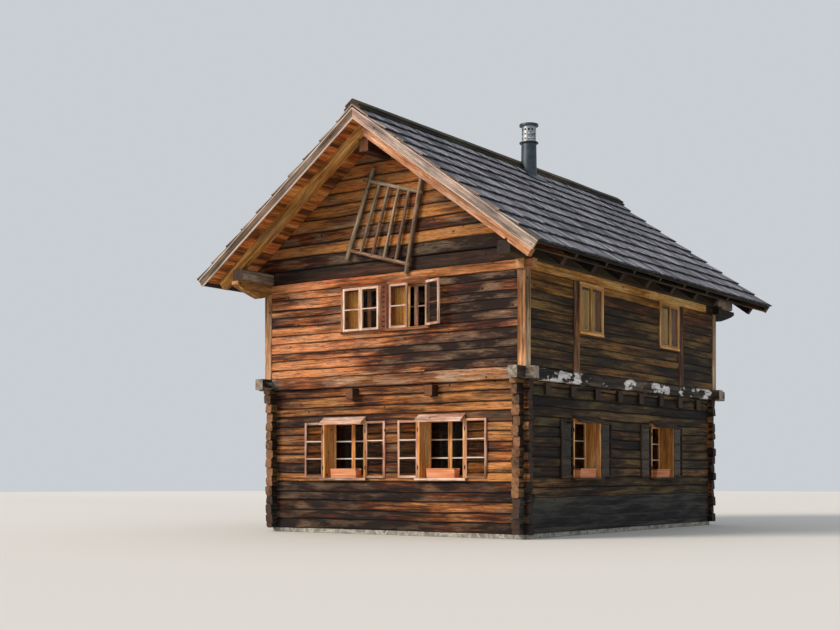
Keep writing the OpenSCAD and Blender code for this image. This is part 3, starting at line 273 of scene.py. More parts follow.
# %% Mix the larch finishes
WOODS = dict(
    front_log=timber("sun-burnt larch, front logs", "#1e0c06 #5e2b0e #a8662c #dca45e #120c08 #b08c6a",
        0.36, 0.3, 0.9),
    side_log=timber("shaded larch, side logs", "#110c07 #322313 #5c4424 #93764a #120c08 #8c7a4c",
        0.4, 0.25, 0.7),
    footing_log=timber("dark logs near the ground", "#0e0f0f #1c1e1e #333433 #5c5b56 #5c5c5a #6c6a62",
        0.35, 0.2, 0.5),
    front_plank=timber("sun-burnt larch, front planks", "#2a1209 #6c3213 #bc723a #ecb276 #120c08 #cca482",
        0.45, 0.3, 0.9),
    side_plank=timber("shaded larch, side planks", "#120d07 #2e2111 #5a4220 #9a783e #120c08 #8a7440",
        0.35, 0.24, 0.7),
    ochre_plank=timber("ochre larch under the eaves", "#3c220a #7a4c14 #ac7826 #d0a04c #120c08 #b0925a",
        0.3, 0.2, 0.6, stain=0.5),
    tie=timber("ochre larch tie beams", "#4c2810 #8a4e1e #c07c3a #e4b074 #120c08 #d0a880",
        0.3, 0.25, 0.8, warm=0.7),
    gable=timber("larch of the gables", "#2a1206 #6a340c #ae6828 #d49c50 #120c08 #a89478",
        0.45, 0.45, 0.9, warm=0.6),
    sill=timber("rain-washed larch sills", "#3a200f #784420 #b07040 #d8a678 #1d130c #dcc4aa",
        0.5, 0.2),
    sill_head=timber("grey heads of the sills", "#2e261f #564a40 #7e7064 #a89a8a #1d130c #ddd3c6",
        0.6, 0.2, worn_at=(0.52, 0.62)),
    side_sill=timber("rain-washed larch, shaded sills", "#17120d #372d22 #5c4f42 #8a7e72 #15100c #fffbfa",
        0.95, 0.2, 0.4, stain=0.3, worn_at=(0.535, 0.575), spread=2.6),
    post=timber("larch posts, silvered orange", "#7e5430 #b48254 #dcac78 #f6d4a6 #2a1a10 #dcc6a8",
        0.35, 0.2, 0.4, stain=0.4, warm=0.3),
    greyed_lit_side_post=timber("larch posts, greyed side with painted light", "#6a5438 #a88a64 #ccb088 #e8d4b0 #2a1a10 #e0d0b8",
        0.35, 0.2, 0.5, stain=0.4, warm=0.2),
    beam=timber("larch beams under the roof", "#46291a #7e4e2c #ac7646 #cc9c68 #1a110a #b8a07c",
        0.35, 0.2),
    grey_beam=timber("weathered grey purlin heads", "#4a3d33 #7a6a5c #a89686 #cfc2b2 #1a110a #d8cec4",
        0.4, 0.2, 0.6, stain=0.4),
    foot_log=timber("smoke-dark larch foot log", "#160b05 #2c190d #48291a #74482c #120c08 #6e5a46",
        0.2, 0.2, 0.6),
    # Painted shade: rafters, joists, battens and purlins under the eaves, and the rear heads, take this dark
    # wood.
    shade_dark_wood=timber("wood under the eaves, dark with painted shade", "#120c07 #22180e #362716 #52422a #120c08 #5e5432",
        0.35, 0.3, 0.5),
    rafter=timber("orange larch rafters with painted light", "#a8704a #dc9e70 #fcc69a #ffdfc2 #3a1f10 #ffe2cc",
        0.35, 0.2, 0.6, stain=0.45, warm=0.2),
    left_rafter=timber("ochre larch rafters with painted light", "#8e5c26 #cc9240 #f0be68 #ffe09c #3a1f10 #ecca90",
        0.25, 0.2, 0.5, stain=0.4, warm=0.3),
    soffit=timber("ochre roof boards from below, with painted light", "#6e3e18 #b26c28 #e09a42 #f8c87c #20140a #c8a068",
        0.2, 0.26, crack=0.5, warm=0.7, stain=0.4),
    barge=timber("brown-grey verge boards", "#544842 #8a7a70 #b2a096 #d8cac0 #d8c6ba #c4b0a4",
        0.4, 0.2, 0.4, stain=0.5),
    left_barge=timber("brown verge boards, left", "#2a2019 #4c3c30 #6e5a48 #9a8674 #f2e2d6 #a8947e",
        0.3, 0.2, 0.3, stain=0.4),
    eave_board=timber("dark roof boards over the walls", "#241509 #432a14 #65441f #8a6636 #140d07 #6e5e34",
        0.3, 0.4, crack=0.5, stain=0.5),
    lining=timber("planed spruce lining", "#a5794a #b98c5a #c99f6c #d8b282 #7a5833 #d9bd92",
        0.1, 0.3, crack=0.2, rough=0.65, stain=0.0, warm=0.2),
    casing=timber("orange larch window boxes with painted light", "#c07c34 #e4a24e #f8c276 #ffdca2 #4a2a14 #f4d8a8",
        0.25, 0.2, crack=0.3, rough=0.7, stain=0.2, warm=0.3),
    pale_board=timber("pinkish-grey washed boards", "#9c7460 #cca48e #ecc8b2 #fae2d2 #4a3a30 #fff0e4",
        0.6, 0.2, crack=0.5, stain=0.2, warm=0.3),
    red_board=timber("red-brown toothed posts", "#38180c #5e2e1a #84452a #a86a48 #2a140a #b08668",
        0.2, 0.2, crack=0.4, stain=0.3),
    sash=timber("red-brown larch sashes", "#7a4c36 #ac7a60 #d2a68c #eeceb8 #4a281a #fce6d8",
        0.5, 0.2, crack=0.3, rough=0.7, stain=0.3),
    cream_highlit_bar=timber("cream glazing bars with painted highlight", "#a8907c #d0baa4 #eadac8 #fff4e6 #7a5e48 #fff8ee",
        0.5, 0.2, crack=0.3, rough=0.7, stain=0.1, warm=0.2),
    red_casing=timber("red-brown window frames", "#40200e #74401f #a06236 #cc9262 #2a140a #d8b090",
        0.3, 0.2, crack=0.4, rough=0.7, stain=0.3),
    ochre_sash=timber("yellow-ochre larch sashes", "#8e6228 #b38438 #cfa254 #e2c080 #5a3c1c #e4cc9c",
        0.25, 0.2, crack=0.3, rough=0.7, stain=0.2, warm=0.3),
    rack=timber("peeled poles, weathered", "#6a5844 #9a866c #c0ac90 #e2d4ba #6a5844 #e8dcc4",
        0.4, 0.2, crack=0.7),
    side_board=timber("dark boards of the shaded windows", "#150d07 #2c1e12 #483420 #6e543a #120b06 #8a7256",
        0.3, 0.2, crack=0.4, stain=0.4),
    cap=timber("mossy ridge boards", "#1d1b16 #322f27 #4a4538 #67604f #12110d #5c6040",
        0.45, 0.2, 0.5))
ENDS = dict(
    pale_end=end_grain("weathered log ends", "#ac8458", "#4a3020"),
    log_end=end_grain("burnt log heads", "#946844", "#1a0f09"),
    shade_dark_end=end_grain("purlin heads, dark with painted shade", "#2c1e15", "#0e0805"),
    brown_end=end_grain("brown log ends", "#8a6444", "#54371f"),
    grey_end=end_grain("rain-grey log ends", "#b0a292", "#40362c"),
    dark_end=end_grain("shaded log ends", "#463020", "#120b06"),
    smoke_end=end_grain("smoked beam heads", "#7a4a28", "#1e1008"),
    orange_end=end_grain("fresh orange ends", "#cf9a66", "#9a6238"))
print("larch finishes", len(WOODS), "end finishes", len(ENDS))

# %% [markdown]
# ## From a clean solid to a hewn log
# A hewn log has no straight line: its seams wander a few millimetres, its faces show the shallow
# scoops of the broad axe, and its ends are cut unevenly. It could be sculpted by hand, or done
# with a displaced remesh. Here each solid is sliced every few centimetres along its length and its
# height, then its corners are moved by smooth waves. That keeps every notch and window cut exactly
# where the carpenter made it, and it costs few triangles.

# %% Smooth waves in place of noise
def ripple(points, size, seed):
    """A smooth random field of about -1 to 1, with bumps about size metres wide in each axis."""
    rng = np.random.default_rng(seed)
    waves = rng.normal(0.0, 1.0, (9, 3)) * 2.2 / np.array(size)
    phase = rng.uniform(0.0, 2.0 * math.pi, 9)
    return np.sin(points @ waves.T + phase).mean(axis=1) * 1.6


sample = ripple(np.random.default_rng(1).uniform(0, 5, (500, 3)), (1, 1, 1), 2)
print("ripple range", sample.min().round(2), sample.max().round(2))

# %% The ways a timber can run
PITCH = math.radians(36)
DOWN = Vector((math.cos(PITCH), 0, -math.sin(PITCH)))
OFF = Vector((math.sin(PITCH), 0, math.cos(PITCH)))
X, Y, Z = (Vector(axis) for axis in ((1, 0, 0), (0, 1, 0), (0, 0, 1)))
RUNS = {"x": (X, Z, Y), "y": (Y, Z, X), "z": (Z, X, Y), "right": (DOWN, OFF, Y),
        "left": (Vector((-DOWN.x, 0, DOWN.z)), Vector((-OFF.x, 0, OFF.z)), Y)}
print("runs (along, up, out)", list(RUNS))

# %% Find the separate pieces of a node
def solid(node):
    """The mesh of a CAD node, with the corners merged that lie together."""
    bm = bmesh.new()
    bm.from_mesh(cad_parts[node].data)
    bmesh.ops.remove_doubles(bm, verts=bm.verts[:], dist=2e-5)
    return bm


def pieces_of(bm):
    """Lists the vertex groups that hang together."""
    left, found = set(bm.verts), []
    for start in bm.verts:
        if start in left:
            left.discard(start)
            found.append([start])
            for here in found[-1]:
                for edge in here.link_edges:
                    there = edge.other_vert(here)
                    if there in left:
                        left.discard(there)
                        found[-1].append(there)
    return found


def run_of(group):
    """The name of the run along which a piece is longest."""
    points = np.array([v.co for v in group])
    return max(RUNS, key=lambda name: np.ptp(points @ np.array(RUNS[name][0])))


print("piece finder ready")

# %% Slice, displace and colour one run of pieces
FIRST_CUT = 0.37   # share of a step from the end of a node to its first cut


def slice_at(bm, normal, distance):
    """Cuts the faces of a mesh along a plane."""
    bmesh.ops.bisect_plane(bm, geom=bm.verts[:] + bm.edges[:] + bm.faces[:], dist=1e-5,
                           plane_co=normal * float(distance), plane_no=normal)


def shape_run(bm, mark, run, seed, cuts, step=0.1, rows=0.0, wave=0.0, facet=0.0, belly=0.0, ragged=0.0,
              drift=0.0):
    """Cuts the pieces every step metres along and rows metres up, and at cuts (axis, distance). Then it
    moves them: wave bends seams, facet is the axe, belly the bulge, ragged the ends, drift each piece.
    Returns the points, the faces and what the finishes need to know of each."""
    along, up, out = RUNS[run]
    here = np.array([v.co for v in bm.verts])
    for normal, gap in ((along, step), (up, rows)):
        if gap:
            far = here @ np.array(normal)
            for distance in np.arange(far.min() + FIRST_CUT * gap, far.max(), gap):
                slice_at(bm, normal, distance)
    for axis, distance in cuts:
        slice_at(bm, (X, Y, Z)[axis], distance)
    bm.verts.index_update()
    bm.normal_update()
    points = np.array([v.co for v in bm.verts])
    owner = np.array([v[mark] for v in bm.verts]).round().astype(int)
    names, owner = np.unique(owner, return_inverse=True)
    basis = np.array([along, up, out])
    local = points @ basis.T
    low = np.full((len(names), 3), 1e9)
    high = -low
    np.minimum.at(low, owner, local)
    np.maximum.at(high, owner, local)
    mid, half = ((low + high) / 2)[owner], ((high - low) / 2)[owner] + 1e-6
    rel = (local - mid) / half
    rng = np.random.default_rng(seed)
    tone = rng.uniform(0, 1, len(names))[owner]
    shift = rng.uniform(0, 40, (len(names), 3))[owner]
    tilt = rng.normal(0, 0.5, (len(names), 4))[owner]
    grain = local - mid * (0, 1, 1)
    grain[:, 0] += shift[:, 0]
    seam = np.clip((np.abs(rel[:, 1]) - 0.5) / 0.5, 0, 1) * bool(rows)
    own = local + shift * (1, 1, 0)
    swing = ripple(local, (1.1, 0.6, 2.0), seed + 1) * wave
    scoop = ripple(own, (0.35, 0.12, 0.5), seed + 2) * facet
    moved = local.copy()
    moved[:, 1] += swing
    moved[:, 2] += np.sign(rel[:, 2]) * (scoop + belly * (1 - rel[:, 1] ** 2)) + tilt[:, 3] * drift
    sawn = (tilt[:, 0] + 0.6 * tilt[:, 1] * rel[:, 1] + 0.6 * tilt[:, 2] * rel[:, 2]) * ragged
    moved[:, 0] -= np.abs(sawn) * np.sign(rel[:, 0]) * (np.abs(rel[:, 0]) > 0.999)
    return {"points": moved @ basis, "faces": [[v.index for v in f.verts] for f in bm.faces],
            "grain": grain, "tone": tone, "seam": seam, "owner": owner, "mids": (low + high) / 2 @ basis,
            "ends": np.array([abs(f.normal.dot(along)) > 0.9 for f in bm.faces]), "basis": basis,
            "normals": np.array([f.normal for f in bm.faces])}


print("slicer ready")

# %% Put a finished mesh in place
CAD_LOW, CAD_HIGH = (np.array(corner) for corner in cad_box)


def place(title, points, faces, finishes, which=None, slot=None, nodes=(), **marks):
    """Makes the object, gives it its finishes and attributes, and rides it on the house."""
    mesh = bpy.data.meshes.new(title)
    mesh.from_pydata(np.clip(np.asarray(points, dtype=float), CAD_LOW, CAD_HIGH).tolist(), [], faces)
    for paint in finishes:
        mesh.materials.append(paint)
    if which is not None:
        mesh.polygons.foreach_set("material_index", np.asarray(which, dtype=np.int32))
    for name, values in marks.items():
        kind = "FLOAT_VECTOR" if np.ndim(values) == 2 else "FLOAT"
        store = mesh.attributes.new(name, kind, "POINT" if len(values) == len(points) else "CORNER")
        store.data.foreach_set("vector" if kind == "FLOAT_VECTOR" else "value",
                               np.asarray(values, dtype=np.float32).ravel())
    mesh.polygons.foreach_set("use_smooth", [True] * len(mesh.polygons))
    mesh.set_sharp_from_angle(angle=math.radians(38))
    mesh.update()
    piece = bpy.data.objects.new(title, mesh)
    scene.collection.objects.link(piece)
    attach(piece, "root")
    if nodes:
        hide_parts(*nodes)
    return piece


print("placing ready, box", CAD_LOW.round(3), CAD_HIGH.round(3))

# %% [markdown]
# ## Fibres that turn with the member
# In a sash the stiles stand and the rails lie, and each is a length of wood of its own. The solid is
# one piece, so there the fibres are turned face by face: "grain" is kept at the face corners.

# %% Turn the fibres of single members
def turn_fibres(made, centres, fibres):
    """Grain of every face corner, and which faces are ends, where the members of a piece cross."""
    grain, ends = [], []
    for face, centre, normal in zip(made["faces"], centres, made["normals"]):
        run = np.array(fibres(centre), dtype=float)
        side = np.array((0.0, 1.0, 0.0) if abs(run[1]) < 0.5 else (1.0, 0.0, 0.0))
        turned = np.array([run, np.cross(side, run), side])
        corner = made["points"][face]
        offset = made["grain"][face[0]] - made["basis"] @ corner[0]
        grain.extend((corner @ turned.T + offset).tolist())
        ends.append(abs(normal @ run) > 0.9)
    return grain, np.array(ends)


print("fibre turner ready")

# %% Hew a whole node
def hew(node, wood, ends, slot, seed=0, bevel=0.0, bm=None, others=(), choose=None, by_face=False,
        weather=None, cuts=(), fibres=None, **style):
    """Replaces a CAD node by hewn pieces. choose(centre) of a piece, or of each face, is False for the
    first wood or the number of one of others; weather(points) shifts the tone, positive for paler,
    and carries painted light and shade as well as weathering; fibres(centre) is the way the wood
    runs where the members of one piece cross."""
    if bm is None:
        bm = solid(node)
    bmesh.ops.dissolve_limit(bm, angle_limit=0.01, verts=bm.verts[:], edges=bm.edges[:])
    if bevel:
        sharp = [e for e in bm.edges if len(e.link_faces) == 2 and e.calc_face_angle(0) > 0.5]
        bmesh.ops.bevel(bm, geom=sharp, offset=bevel, segments=1, affect="EDGES", clamp_overlap=True)
    mark = bm.verts.layers.float.new("piece")
    groups = {}
    for i, group in enumerate(pieces_of(bm)):
        for v in group:
            v[mark] = i
        groups.setdefault(run_of(group), set()).add(i)
    points, faces, sorts, grain, tone, seam = [], [], [], [], [], []
    for run, members in groups.items():
        part = bm.copy()
        layer = part.verts.layers.float["piece"]
        bmesh.ops.delete(part, geom=[v for v in part.verts if round(v[layer]) not in members],
                         context="VERTS")
        made = shape_run(part, layer, run, seed, cuts, **style)
        part.free()
        middles = made["mids"][[made["owner"][f[0]] for f in made["faces"]]]
        if by_face:
            middles = [made["points"][f].mean(axis=0) for f in made["faces"]]
        if fibres:
            made["grain"], made["ends"] = turn_fibres(made, middles, fibres)
        picks = [choose(mid) if choose else 0 for mid in middles]
        start = len(points)
        points.extend(made["points"].tolist())
        faces.extend([[start + i for i in f] for f in made["faces"]])
        grain.extend(np.asarray(made["grain"]).tolist())
        tone.extend((made["tone"] + (weather(made["points"]) if weather else 0)).tolist())
        seam.extend(made["seam"].tolist())
        sorts.extend(2 * pick + end for pick, end in zip(picks, made["ends"]))
    bm.free()
    finishes = [paint for side, head in ((wood, ends), *others) for paint in (WOODS[side], ENDS[head])]
    print(node, "pieces", sum(map(len, groups.values())), "faces", len(faces))
    return place(node + "_hewn", points, faces, finishes, sorts, slot, [node], grain=np.array(grain),
                 tone=tone, seam=seam)


# %% Let a tone change across a wall
def fade(values, start, end):
    """0 at start and before it, 1 at end and beyond."""
    return np.clip((values - start) / (end - start), 0, 1)


print("half way", fade(np.array([0.5]), 0, 1))

# %% [markdown]
# ## The log storey
# The ground floor is hewn logs, half-lapped at the corners so that the heads of both walls run
# past each other. The front logs took the sun and are orange and black, those of the long sides
# are brown to black. Their bellies bulge a little between the seams.

# %% Hew the log walls
HEAD_X = 2.88      # the heads of the front and rear logs stand out beyond this x
FOOTING_Z = 0.72   # the side logs below this height are damp and dark
LOG = dict(step=0.085, rows=0.05, wave=0.012, facet=0.010, belly=0.006, ragged=0.030, drift=0.008)
LOW = dict(others=[("footing_log", "dark_end")], choose=lambda mid: mid[2] < FOOTING_Z)


def heads_soot_and_shade(points):
    """Tone of the log heads: darkened by rain and soot, and by painted shade."""
    return -0.45 * (np.abs(points[:, 0]) > HEAD_X)


def painted_sun_on_logs(points):
    """Tone of the front logs: painted sunlight to the right and painted shade to the left, paler right under
    the sills, darker low down and at the heads.
    """
    x, z = points[:, 0], points[:, 2]
    return (0.5 * fade(x, -2, 2) - 0.25 - 0.5 * fade(z, 1.2, 0.2) + 0.15 * fade(z, 2.1, 2.4)
            + heads_soot_and_shade(points))


hew("front_log_wall", "front_log", "dark_end", "log_front", 11, weather=painted_sun_on_logs, **LOG)
hew("back_log_wall", "front_log", "dark_end", "log_front", 12, weather=heads_soot_and_shade, **LOG)
hew("left_log_wall", "side_log", "log_end", "log_side", 13, **LOG, **LOW)
hew("right_log_wall", "side_log", "log_end", "log_side", 14, **LOG, **LOW)

# %% Hew the beam heads and joists
hew("long_beams", "foot_log", "smoke_end", "beam", 15, bevel=0.008, wave=0.004, facet=0.006, ragged=0.008)
hew("floor_joists", "shade_dark_wood", "dark_end", "beam", 16, step=0.3, facet=0.002, ragged=0.004)

# %% [markdown]
# ## The upper storey
# On the logs lie the sills, crossed half and half, and their long weathered heads stand far out.
# Grooved posts rise from them, and thick planks with tongues lie between the posts.

# %% Hew the sills
SAWN = dict(step=0.12, wave=0.002, facet=0.003, belly=0.002, ragged=0.005)
GREY_HEAD = [("sill_head", "grey_end")]
SILL_HEAD_X, LONG_HEAD_Y = 2.55, 4.0   # where the heads of cross sills and of long timbers begin
hew("cross_sills", "sill", "grey_end", "beam", 21, **SAWN, others=GREY_HEAD, by_face=True,
    choose=lambda c: abs(c[0]) > SILL_HEAD_X)
hew("side_sills", "side_sill", "grey_end", "beam", 22, **SAWN, others=GREY_HEAD, by_face=True,
    choose=lambda c: abs(c[1]) > LONG_HEAD_Y)
hew("drip_board", "sill", "pale_end", "beam", 23, step=0.15, facet=0.003, wave=0.003)

# %% Hew the posts
POST_SIDE_X = 2.94   # the outer faces of the corner posts look out beyond this x


def shaded_top(points):
    """Tone of a post: painted shade under the roof, painted sunlight towards the sill."""
    return 0.3 - 0.6 * fade(points[:, 2], 3.1, 4.1)


# The outer side faces of the corner posts take the greyed side wood, made paler with painted light.
hew("corner_posts", "post", "pale_end", "post", 24, **SAWN, weather=shaded_top, by_face=True,
    others=[("greyed_lit_side_post", "pale_end")], choose=lambda c: abs(c[0]) > POST_SIDE_X)
hew("side_posts", "beam", "pale_end", "post", 25, **SAWN, weather=shaded_top)

# %% Hew the planks
PLANK = dict(step=0.085, rows=0.05, wave=0.011, facet=0.007, belly=0.004, ragged=0.003, drift=0.003)
EAVE_Z = 4.3   # the planks above this height are ochre
HIGH = dict(others=[("ochre_plank", "orange_end")], choose=lambda mid: mid[2] > EAVE_Z)


def painted_roof_shade(points):
    """Tone of the front planks: painted shade of the roof, growing to the right, and painted sunlight at the
    lower left.
    """
    x, z = points[:, 0], points[:, 2]
    return 0.24 - 1.08 * fade(x, -0.9, 1.7) + 0.45 * fade(z, 3.75, 3.05) * fade(x, 0, -1.5)


def lit_corner(points):
    """Tone of the right planks: paler towards the front corner."""
    return 0.5 * fade(points[:, 1], -1.8, -3.0) - 0.06


for i, (wall, wood, slot, more) in enumerate([
        ("front", "front_plank", "plank_front", dict(weather=painted_roof_shade)),
        ("back", "front_plank", "plank_front", {}), ("left", "side_plank", "plank_side", HIGH),
        ("right", "side_plank", "plank_side", dict(HIGH, weather=lit_corner))]):
    hew(wall + "_planks", wood, "pale_end", slot, 26 + i, **PLANK, **more)

# %% Hew tie beams, plates and gables
REAR_Y, TIE_HEAD_X = 3.5, 2.9   # the heads behind this y stay in the shade
GABLE = dict(step=0.09, rows=0.055, wave=0.011, facet=0.009, belly=0.006, ragged=0.003, drift=0.006)
SHADE = [("shade_dark_wood", "dark_end")]
hew("tie_beams", "tie", "orange_end", "beam", 31, **SAWN, others=SHADE, by_face=True,
    choose=lambda c: c[1] > REAR_Y and abs(c[0]) > TIE_HEAD_X)
hew("wall_plates", "left_rafter", "orange_end", "beam", 32, **SAWN, others=SHADE, by_face=True,
    choose=lambda c: c[1] > REAR_Y)
hew("gable_foot_logs", "foot_log", "dark_end", "gable", 33, step=0.1, rows=0.06, wave=0.008,
    facet=0.008, belly=0.006, ragged=0.004)
# Painted light: the front gable logs are paler towards the left.
hew("front_gable_logs", "gable", "pale_end", "gable", 34, **GABLE,
    weather=lambda p: 0.22 - 0.2 * fade(p[:, 0], -2, 2))
hew("back_gable_logs", "gable", "pale_end", "gable", 35, **GABLE)

# %% [markdown]
# ## The roof timbers
# Purlins carry the rafters, and the rafters carry boards. Under the verges the boards show ochre
# from below and the front outer rafters orange, both brightened with painted light; under the eaves
# and at the rear the timbers are dark with painted shade. The boards run from gable to gable, so
# here each slope is laid out board by board, with a thin gap between them.

# %% Hew purlins and rafters
# The front head of the right eave purlin is dark with painted shade; the other heads are grey.
hew("eave_purlins", "shade_dark_wood", "shade_dark_end", "beam", 41, **SAWN, others=[("grey_beam", "dark_end")],
    choose=lambda c: abs(c[1]) > LONG_HEAD_Y and (c[0] < 0 or c[1] > 0), by_face=True)
hew("ridge_purlin", "foot_log", "smoke_end", "beam", 42, bevel=0.015, step=0.06, facet=0.008,
    wave=0.004, ragged=0.01)
hew("rafters", "shade_dark_wood", "dark_end", "rafter", 43, **SAWN)
# The front outer rafters are brightened with painted light; the rear ones get painted shade.
hew("flying_rafters", "rafter", "orange_end", "rafter", 44, **SAWN,
    others=[("left_rafter", "orange_end"), *SHADE], choose=lambda mid: 2 if mid[1] > 0 else mid[0] < 0)
hew("battens", "shade_dark_wood", "dark_end", "beam", 45, step=0.6)
hew("barge_boards", "barge", "pale_end", "barge", 46, step=0.12, rows=0.03, wave=0.003, facet=0.001,
    others=[("left_barge", "pale_end")], choose=lambda mid: mid[0] < 0)
hew("ridge_cap", "cap", "dark_end", "ridge", 47, step=0.25, wave=0.004, facet=0.004, ragged=0.005)

# %% Points and blocks that lie on a slope
APEX = 7.65


def on_slope(side, s, d, y):
    """A point of the left (-1) or right (1) slope: s down from the apex, d under the shingles."""
    return (side * (s * DOWN.x - d * OFF.x), y, APEX + s * DOWN.z - d * OFF.z)


def add_block(bm, side, s0, s1, d0, d1, y0, y1):
    """Adds a straight block that lies on a slope."""
    corners = [bm.verts.new(on_slope(side, s, d, y)) for s in (s0, s1) for d in (d0, d1) for y in (y0, y1)]
    for f in ((0, 1, 3, 2), (4, 6, 7, 5), (0, 4, 5, 1), (2, 3, 7, 6), (0, 2, 6, 4), (1, 5, 7, 3)):
        bm.faces.new([corners[i] for i in f])


print("apex", APEX)

# %% Lay the roof boards one by one
BOARD_TOP, BOARD_UNDER, BOARD_GAP = 0.181, 0.210, 0.004
SHADE_Y, SHADE_X = 3.95, 3.6   # between the gables and over the eaves the boards are dark: painted shade
low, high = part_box("roof_boards")
slope_end = high.x / DOWN.x + BOARD_UNDER * OFF.x / DOWN.x
deck = bmesh.new()
rng = np.random.default_rng(51)
for side in (-1, 1):
    s = 0.16
    while s < slope_end - 0.05:
        wide = min(rng.uniform(0.14, 0.21), slope_end - s)
        add_block(deck, side, s, s + wide - BOARD_GAP, BOARD_TOP, BOARD_UNDER, low.y, high.y)
        s += wide
bmesh.ops.recalc_face_normals(deck, faces=deck.faces[:])
# The boards under the verges get the ochre wood, brightened with painted light.
hew("roof_boards", "soffit", "pale_end", "soffit", 52, step=0.5, facet=0.001, bevel=0.003, bm=deck,
    others=[("eave_board", "dark_end")], by_face=True,
    choose=lambda c: abs(c[1]) < SHADE_Y or abs(c[0]) > SHADE_X)

# %% [markdown]
# ## Split shingles
# The roof is larch shingles split by hand, laid in ten courses, each double, so that a joint above
# lies over whole wood below. Sun and rain turn them silver grey with dark butts. Each shingle is
# made as its own thin wedge with its own width, length, lift and shade; a pattern in a texture
# would stay flat at the verges and the eaves, where the layers show.

# %% The finish of the shingles
SHINGLE = timber("silver-grey split larch shingles", "#4a4b52 #7d7e88 #a8a9b4 #cccdd6 #1c1c22 #b8b9c0",
                 0.35, 0.34, rough=0.75, warm=0.15)
UNDER = timber("shaded shingle wood", "#1c1a1c #2c292b #403b3a #55504c #111013 #4a4644", 0.2)
LIT_VERGE_EDGES = timber("verge edges of the shingles, pale with painted sunlight", "#7a6a60 #a89488 #cbb8aa #e6d8cc #2a2420 #efe6de",
             0.3, 0.5, crack=0.3)
print("shingle finishes", SHINGLE.name, "/", UNDER.name, "/", LIT_VERGE_EDGES.name)

# %% Split and lay the shingles
COURSES, VERGE = 10, 5.135
NARROW, BROAD, LAP = 0.085, 0.165, 0.07   # least and most width, and the overlap of two courses
low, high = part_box("right_shingles")
slope_l = high.x / DOWN.x
STEP_DOWN = slope_l / COURSES


def lay_slope(side, seed):
    """All shingles of one slope, two layers a course, as wedge points with their marks."""
    rng = np.random.default_rng(seed)
    points, faces, grain, tone, seam, sorts = [], [], [], [], [], []

    def lay(s0, s1, y0, y1, top0, top1, thick, shade, sort):
        """One wedge from s0 down to s1, its upper face top0 to top1 under the roof's plane."""
        lift = rng.uniform(-0.002, 0.004)
        rows = [(s0, top0, thick * 0.5), (s1 - 0.05, top0 + (top1 - top0) * 0.88 - lift, thick * 0.9),
                (s1, top1, thick)]
        start, off = len(points), rng.uniform(0, 50)
        skew = rng.uniform(-0.008, 0.008)
        for r, (s, top, t) in enumerate(rows):
            for y in (y0, y1):
                tip = min(s + (skew if y == y0 else -skew) * (r == 2), slope_l)
                for d in (top, top + t):
                    points.append(on_slope(side, tip, max(d, 0.0005), y))
                    grain.append((s + off, y - y0, d))
                    tone.append(shade)
                    seam.append((0.25, 0.1, 0.95)[r] if d == top else 1.0)
        for a in (start, start + 4):
            faces.extend([(a, a + 2, a + 6, a + 4), (a + 1, a + 5, a + 7, a + 3),
                          (a, a + 4, a + 5, a + 1), (a + 2, a + 3, a + 7, a + 6)])
        faces.extend([(start, start + 1, start + 3, start + 2),
                      (start + 8, start + 10, start + 11, start + 9)])
        # The faces at the verges take the third finish, pale with painted sunlight.
        edges = [(2 if abs(y) > VERGE - 0.02 else sort) for y in (y0, y1)]
        sorts.extend(([sort] * 2 + edges) * 2 + [sort] * 2)

    for i in range(COURSES):
        for layer in (1, 0):
            y = -VERGE + rng.uniform(0.0, 0.004)
            while y < VERGE - 0.02:
                wide = rng.uniform(NARROW, BROAD)
                if y + wide > VERGE - 0.06:
                    wide = VERGE - y - rng.uniform(0.0, 0.004)
                butt = (i + 1) * STEP_DOWN - abs(rng.normal(0, 0.014)) - 0.012 * layer
                top0 = (0.043 if i else 0.004) + 0.017 * layer
                top1 = 0.017 * layer + rng.uniform(0.0, 0.005)
                begin = max(i * STEP_DOWN - LAP, 0.004)
                lay(begin, butt, y, y + wide - rng.uniform(0.001, 0.006), top0, top1,
                    0.018 + 0.004 * layer, rng.uniform(0, 1), 0)
                y += wide
    lay(0.04, slope_l - 0.03, -VERGE + 0.01, VERGE - 0.01, 0.052, 0.052, 0.007, 0.3, 1)
    if side < 0:
        faces = [f[::-1] for f in faces]
    return points, faces, sorts, np.array(grain), tone, seam


for side, node, seed in ((-1, "left_shingles", 61), (1, "right_shingles", 62)):
    points, faces, sorts, grain, tone, seam = lay_slope(side, seed)
    coat = place(node + "_split", points, faces, [SHINGLE, UNDER, LIT_VERGE_EDGES], sorts, "shingle", [node],
                 grain=grain, tone=tone, seam=seam)
    print(coat.name, "shingles", len(faces) // 10)

# %% [markdown]
# ## Inside the walls
# Linings, floors and the stone plinth are plain. They are seen only through the windows and at the
# foot of the walls, so they keep their CAD shape; only the plinth gets fine edges and shallow scoops.

# %% The finish of the stones
# Field stones of about 250 mm in joints of pale lime, with clouds of 110 mm on their broken faces.
STONE, tree, shell = finish("grey field stone with lime")
grain = add(tree, "Attribute", attribute_name="grain").outputs["Vector"]
cells = add(tree, "TexVoronoi", {"Vector": grain, "Scale": 4.0}, feature="DISTANCE_TO_EDGE")
cloud = add(tree, "TexNoise", {"Vector": grain, "Scale": 9.0, "Detail": 6.0})
face = add(tree, "ValToRGB", {"Fac": cloud}, stops=[(0.3, "#5f5d58"), (0.5, "#85827a"), (0.7, "#a8a49a")])
joint = add(tree, "MapRange", {"Value": cells, "From Max": 0.05})
dress(shell, add(tree, "Mix", {0: joint, 6: linear("#b5b0a4"), 7: face}, data_type="RGBA"),
      (cloud, 0.7, 1.0), (cloud, 0.6, 0.01))
WOODS["stone"] = ENDS["stone"] = STONE
print("stone finish ready")

